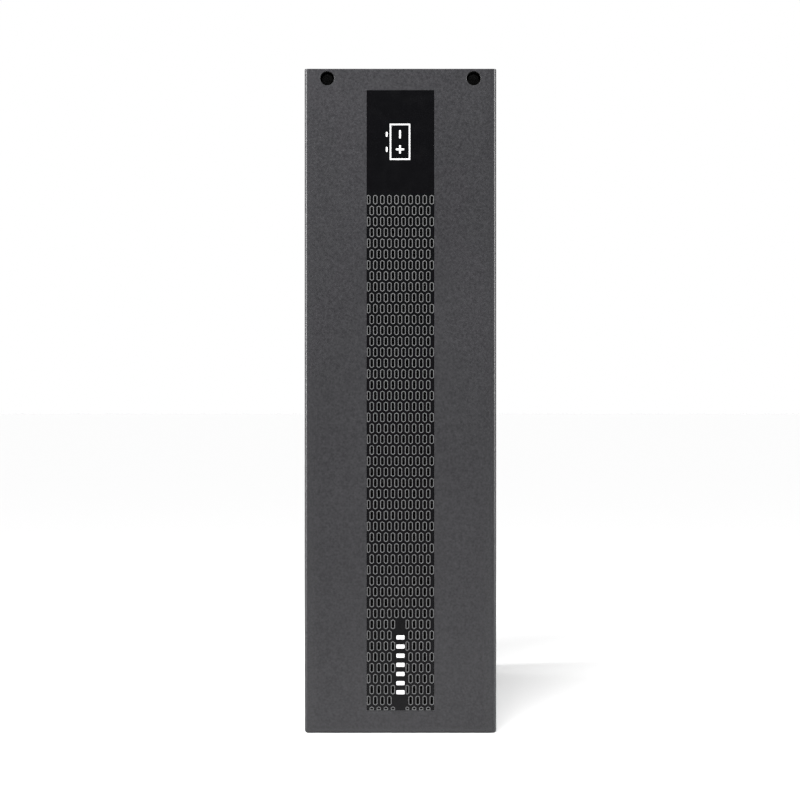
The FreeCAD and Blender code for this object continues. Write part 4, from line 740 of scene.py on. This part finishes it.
def ring_sectors(radius, stroke):
    """A ring made of short sectors that share their ends."""
    count = 24
    inner, sectors = radius - stroke, []
    for k in range(count):
        a, b = math.tau * k / count, math.tau * (k + 1) / count
        corners = ((radius, a), (radius, b), (inner, b), (inner, a))
        sectors.append([(r * math.cos(t), r * math.sin(t)) for r, t in corners])
    return sectors


print("outlines ready: rounded bar, plus and ring")

# %% Signs on the rear panel
panel_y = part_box("rear_panel")[1].y
sockets_low, sockets_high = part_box("output_sockets")
breaker_low, breaker_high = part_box("breaker_body")
stud_low, stud_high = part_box("earth_terminal")
INK = 0.08 * MM  # how thick the print is
SIGN, STROKE = 6 * MM, 1.3 * MM
SOCKET_TALL = 76 * MM  # one of the two sockets
POLE_STEP = 25 * MM  # from a socket's plus pole up to its minus pole
BREAKER_SIGN_X = 30 * MM
EARTH_BARS = ((7.0, 0.0), (4.6, -1.9), (2.2, -3.8))  # length and height of each bar, in mm


def rear_sign(name, outlines, x, z):
    """A printed sign on the rear panel. Seen from behind, +X is to the left."""
    place = (x, panel_y, z)
    white = finishes["mark_white"]
    flat_piece(name, "chassis", outlines, place, (-1, 0, 0), (0, 0, 1), INK, white)


plus_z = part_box("output_contacts")[0].z + 7 * MM
socket_step = (sockets_high.z - sockets_low.z) - SOCKET_TALL
sign_x = sockets_high.x + 7 * MM
for socket in range(2):
    low_z = plus_z + socket * socket_step
    rear_sign(f"sign_plus_{socket}", [plus_outline(SIGN, STROKE)], sign_x, low_z)
    rear_sign(f"sign_minus_{socket}", [rounded(SIGN, STROKE, 0.3 * MM)], sign_x, low_z + POLE_STEP)
breaker_z = (breaker_low.z + breaker_high.z) / 2
rear_sign("sign_off", ring_sectors(3.2 * MM, 0.9 * MM), BREAKER_SIGN_X, breaker_z)
rear_sign("sign_on", [rounded(1.1 * MM, 6.4 * MM, 0.2 * MM)], -BREAKER_SIGN_X, breaker_z)
stud_x, stud_z = (stud_low.x + stud_high.x) / 2, (stud_low.z + stud_high.z) / 2
earth = [moved(rounded(long * MM, 0.9 * MM, 0.2 * MM), 0, v * MM) for long, v in EARTH_BARS]
earth.append(moved(rounded(0.9 * MM, 3.4 * MM, 0.2 * MM), 0, 2.1 * MM))
rear_sign("sign_earth", earth, stud_x - 13 * MM, stud_z)
print("rear signs printed")


# %% Stickers on the battery lids
def sticker_paper(name, dark, light):
    """Coated paper with a trace of its fibres."""
    material, tree = start(name)
    fibres = pattern(tree, 0.5 * MM, detail=4, stretch=(1, 3, 1))
    rubbed = pattern(tree, 6 * MM, detail=5, twist=0.8).fade(0.60, 0.72)
    colour = (rubbed * 0.35).mix(fibres.mix(dark, light), grey(0.35, 0.03))
    roughness = 0.34 + fibres * 0.12 + rubbed * 0.2
    return finish(tree, material, colour, roughness, height=fibres, depth=0.01 * MM)


PAPER = 0.10 * MM  # how thick a sticker is
LID_DOWN = 93 * MM  # from a jar's floor up to its lid's face
STICKER_TALL = 36 * MM
SPANS = ((30 * MM, 62 * MM), (88 * MM, 134 * MM))  # where the two stickers lie along a battery
pale_paper = sticker_paper("sticker_pale", grey(0.50, 0.02), grey(0.60, 0.02))
teal_paper = sticker_paper("sticker_teal", (0.010, 0.12, 0.14, 1), (0.014, 0.17, 0.19, 1))


def sticker(name, body, place, width):
    """A pale sticker on a battery's lid, with a wide band and two thin bars printed on it."""
    across, up = (0, -1, 0), (0, 0, 1)
    paper = [rounded(width, STICKER_TALL, 1.5 * MM)]
    flat_piece(f"{name}_sticker", body, paper, place, across, up, PAPER, pale_paper)
    wide = width - 4 * MM
    prints = [moved(rounded(wide, 7 * MM, 0.8 * MM), 0, 11 * MM)]
    for share, v in ((0.7, -4 * MM), (0.5, -9 * MM)):
        prints.append(moved(rounded(wide * share, 1.6 * MM, 0.5 * MM), -wide * (1 - share) / 2, v))
    on_paper = Vector(place) - Vector((PAPER, 0, 0))
    flat_piece(f"{name}_band", body, prints, on_paper, across, up, 0.04 * MM, teal_paper)


for name in batteries:
    low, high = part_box(name)
    body = "lower_tray_set" if name.startswith("lower") else "upper_tray_set"
    for half, (near, far) in enumerate(SPANS):
        place = (high.x - LID_DOWN, low.y + (near + far) / 2, (low.z + high.z) / 2)
        sticker(f"{name}_{half}", body, place, far - near)
print("stickers on", len(batteries), "batteries")

# %% [markdown]
# ## The studio
#
# The module stands on a wide white floor that runs off into a white surround. A broad low sun, a little to
# the left of the front, lays one soft shadow on the floor behind and to the right, and lights the floor
# evenly as far as the eye can see. Its glare is switched off, as a polarising filter would do. A soft panel
# above the front lifts the top of the cover. Two tall panels stand out at the sides, where only the rounded
# edges mirror them, and draw the thin bright line along each edge. The surround is dim in front, because
# that is what the black strip mirrors.


# %% Floor and surround
def floor_sheet():
    """One wide white face under the module, lit a little from within."""
    reach = 60.0
    mesh, shape = bpy.data.meshes.new("floor"), bmesh.new()
    corners = ((-reach, -reach), (reach, -reach), (reach, reach), (-reach, reach))
    shape.faces.new([shape.verts.new((x, y, case_low.z)) for x, y in corners])
    shape.to_mesh(mesh)
    shape.free()
    material, tree = start("floor_white")
    paint = tree.node("ShaderNodeBsdfDiffuse", {}, {"Color": grey(0.80)})
    glow = tree.node("ShaderNodeEmission", {}, {"Color": grey(1.0), "Strength": 0.02})
    both = tree.node("ShaderNodeAddShader", {}, {0: paint, 1: glow})
    tree.node("ShaderNodeOutputMaterial", {}, {"Surface": both})
    mesh.materials.append(material)
    floor = bpy.data.objects.new("floor", mesh)
    bpy.context.scene.collection.objects.link(floor)


def surround():
    """White to the eye, and to the object bright above and behind but dim in front."""
    world = bpy.data.worlds.new("surround")
    bpy.context.scene.world = world
    world.use_nodes = True
    world.node_tree.nodes.clear()
    tree = Socket(world.node_tree)
    way = tree.node("ShaderNodeTexCoord", output="Generated")
    along = tree.node("ShaderNodeSeparateXYZ", {}, {"Vector": way}, "Y")
    lit = along.fade(-0.75, 0.15) * 0.48 + 0.20
    seen = tree.node("ShaderNodeLightPath", output="Is Camera Ray")
    glow = tree.node("ShaderNodeBackground", {}, {"Color": grey(1.0), "Strength": seen.most(lit)})
    tree.node("ShaderNodeOutputWorld", {}, {"Surface": glow})


floor_sheet()
surround()
print("floor and surround made")


# %% Lights
def hang(name, lamp, place, aim):
    """Put a lamp at a place and turn it to a point."""
    light = bpy.data.objects.new(name, lamp)
    light.location = place
    light.rotation_mode = "QUATERNION"
    light.rotation_quaternion = (Vector(aim) - Vector(place)).to_track_quat("-Z", "Y")
    bpy.context.scene.collection.objects.link(light)
    return light


def soft_panel(name, place, aim, width, height, watts):
    """A rectangular light that faces a point, sized in metres."""
    lamp = bpy.data.lights.new(name, "AREA")
    lamp.shape = "RECTANGLE"
    lamp.size, lamp.size_y = width, height
    lamp.energy = watts
    hang(name, lamp, place, aim)


def broad_sun(place, strength, spread):
    """Even light with soft shadows and no glare. spread is its apparent size in degrees."""
    lamp = bpy.data.lights.new("sun", "SUN")
    lamp.energy = strength
    lamp.angle = math.radians(spread)
    hang("sun", lamp, place, (0, 0, 0)).visible_glossy = False


cover_front = case_low.y
broad_sun((-0.15, -0.80, 0.43), 4.5, 26)
soft_panel("front_top", (-0.15, -0.60, 0.84), (0, cover_front, 0.42), 0.5, 0.2, 11.0)
soft_panel("left_edge", (-1.40, -0.60, 0.58), (0, cover_front, 0.30), 0.3, 0.9, 42.0)
soft_panel("right_edge", (1.40, -0.60, 0.58), (0, cover_front, 0.30), 0.3, 0.9, 34.0)
print("four lights hung")

# %% [markdown]
# ## The camera
#
# The camera looks straight at the front, level with the middle, from far enough away that the sides stay
# hidden behind the front. The lens follows from how much the frame spans at the front face: the module
# fills 83% of its height. The whites stay white, so the plain Standard view is used.

# %% Camera
DISTANCE = 2.6  # from the cover's front, in metres
FILLED = 0.8309  # the cover's share of the picture's height
AIM_LEFT, AIM_UP = 0.3 * MM, 0.7 * MM  # from the front's middle
cover_low, cover_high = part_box("front_cover_shell")
seen_height = (cover_high.z - cover_low.z) / FILLED
lens = bpy.data.cameras.new("camera")
lens.sensor_width = 36.0
lens.lens = lens.sensor_width * DISTANCE / seen_height
lens.dof.use_dof = False
camera = bpy.data.objects.new("camera", lens)
camera.location = (-AIM_LEFT, cover_low.y - DISTANCE, middle_z + AIM_UP)
camera.rotation_euler = (math.radians(90), 0, 0)
bpy.context.scene.collection.objects.link(camera)
bpy.context.scene.camera = camera
bpy.context.scene.view_settings.view_transform = "Standard"
print("lens", round(lens.lens, 1), "mm")
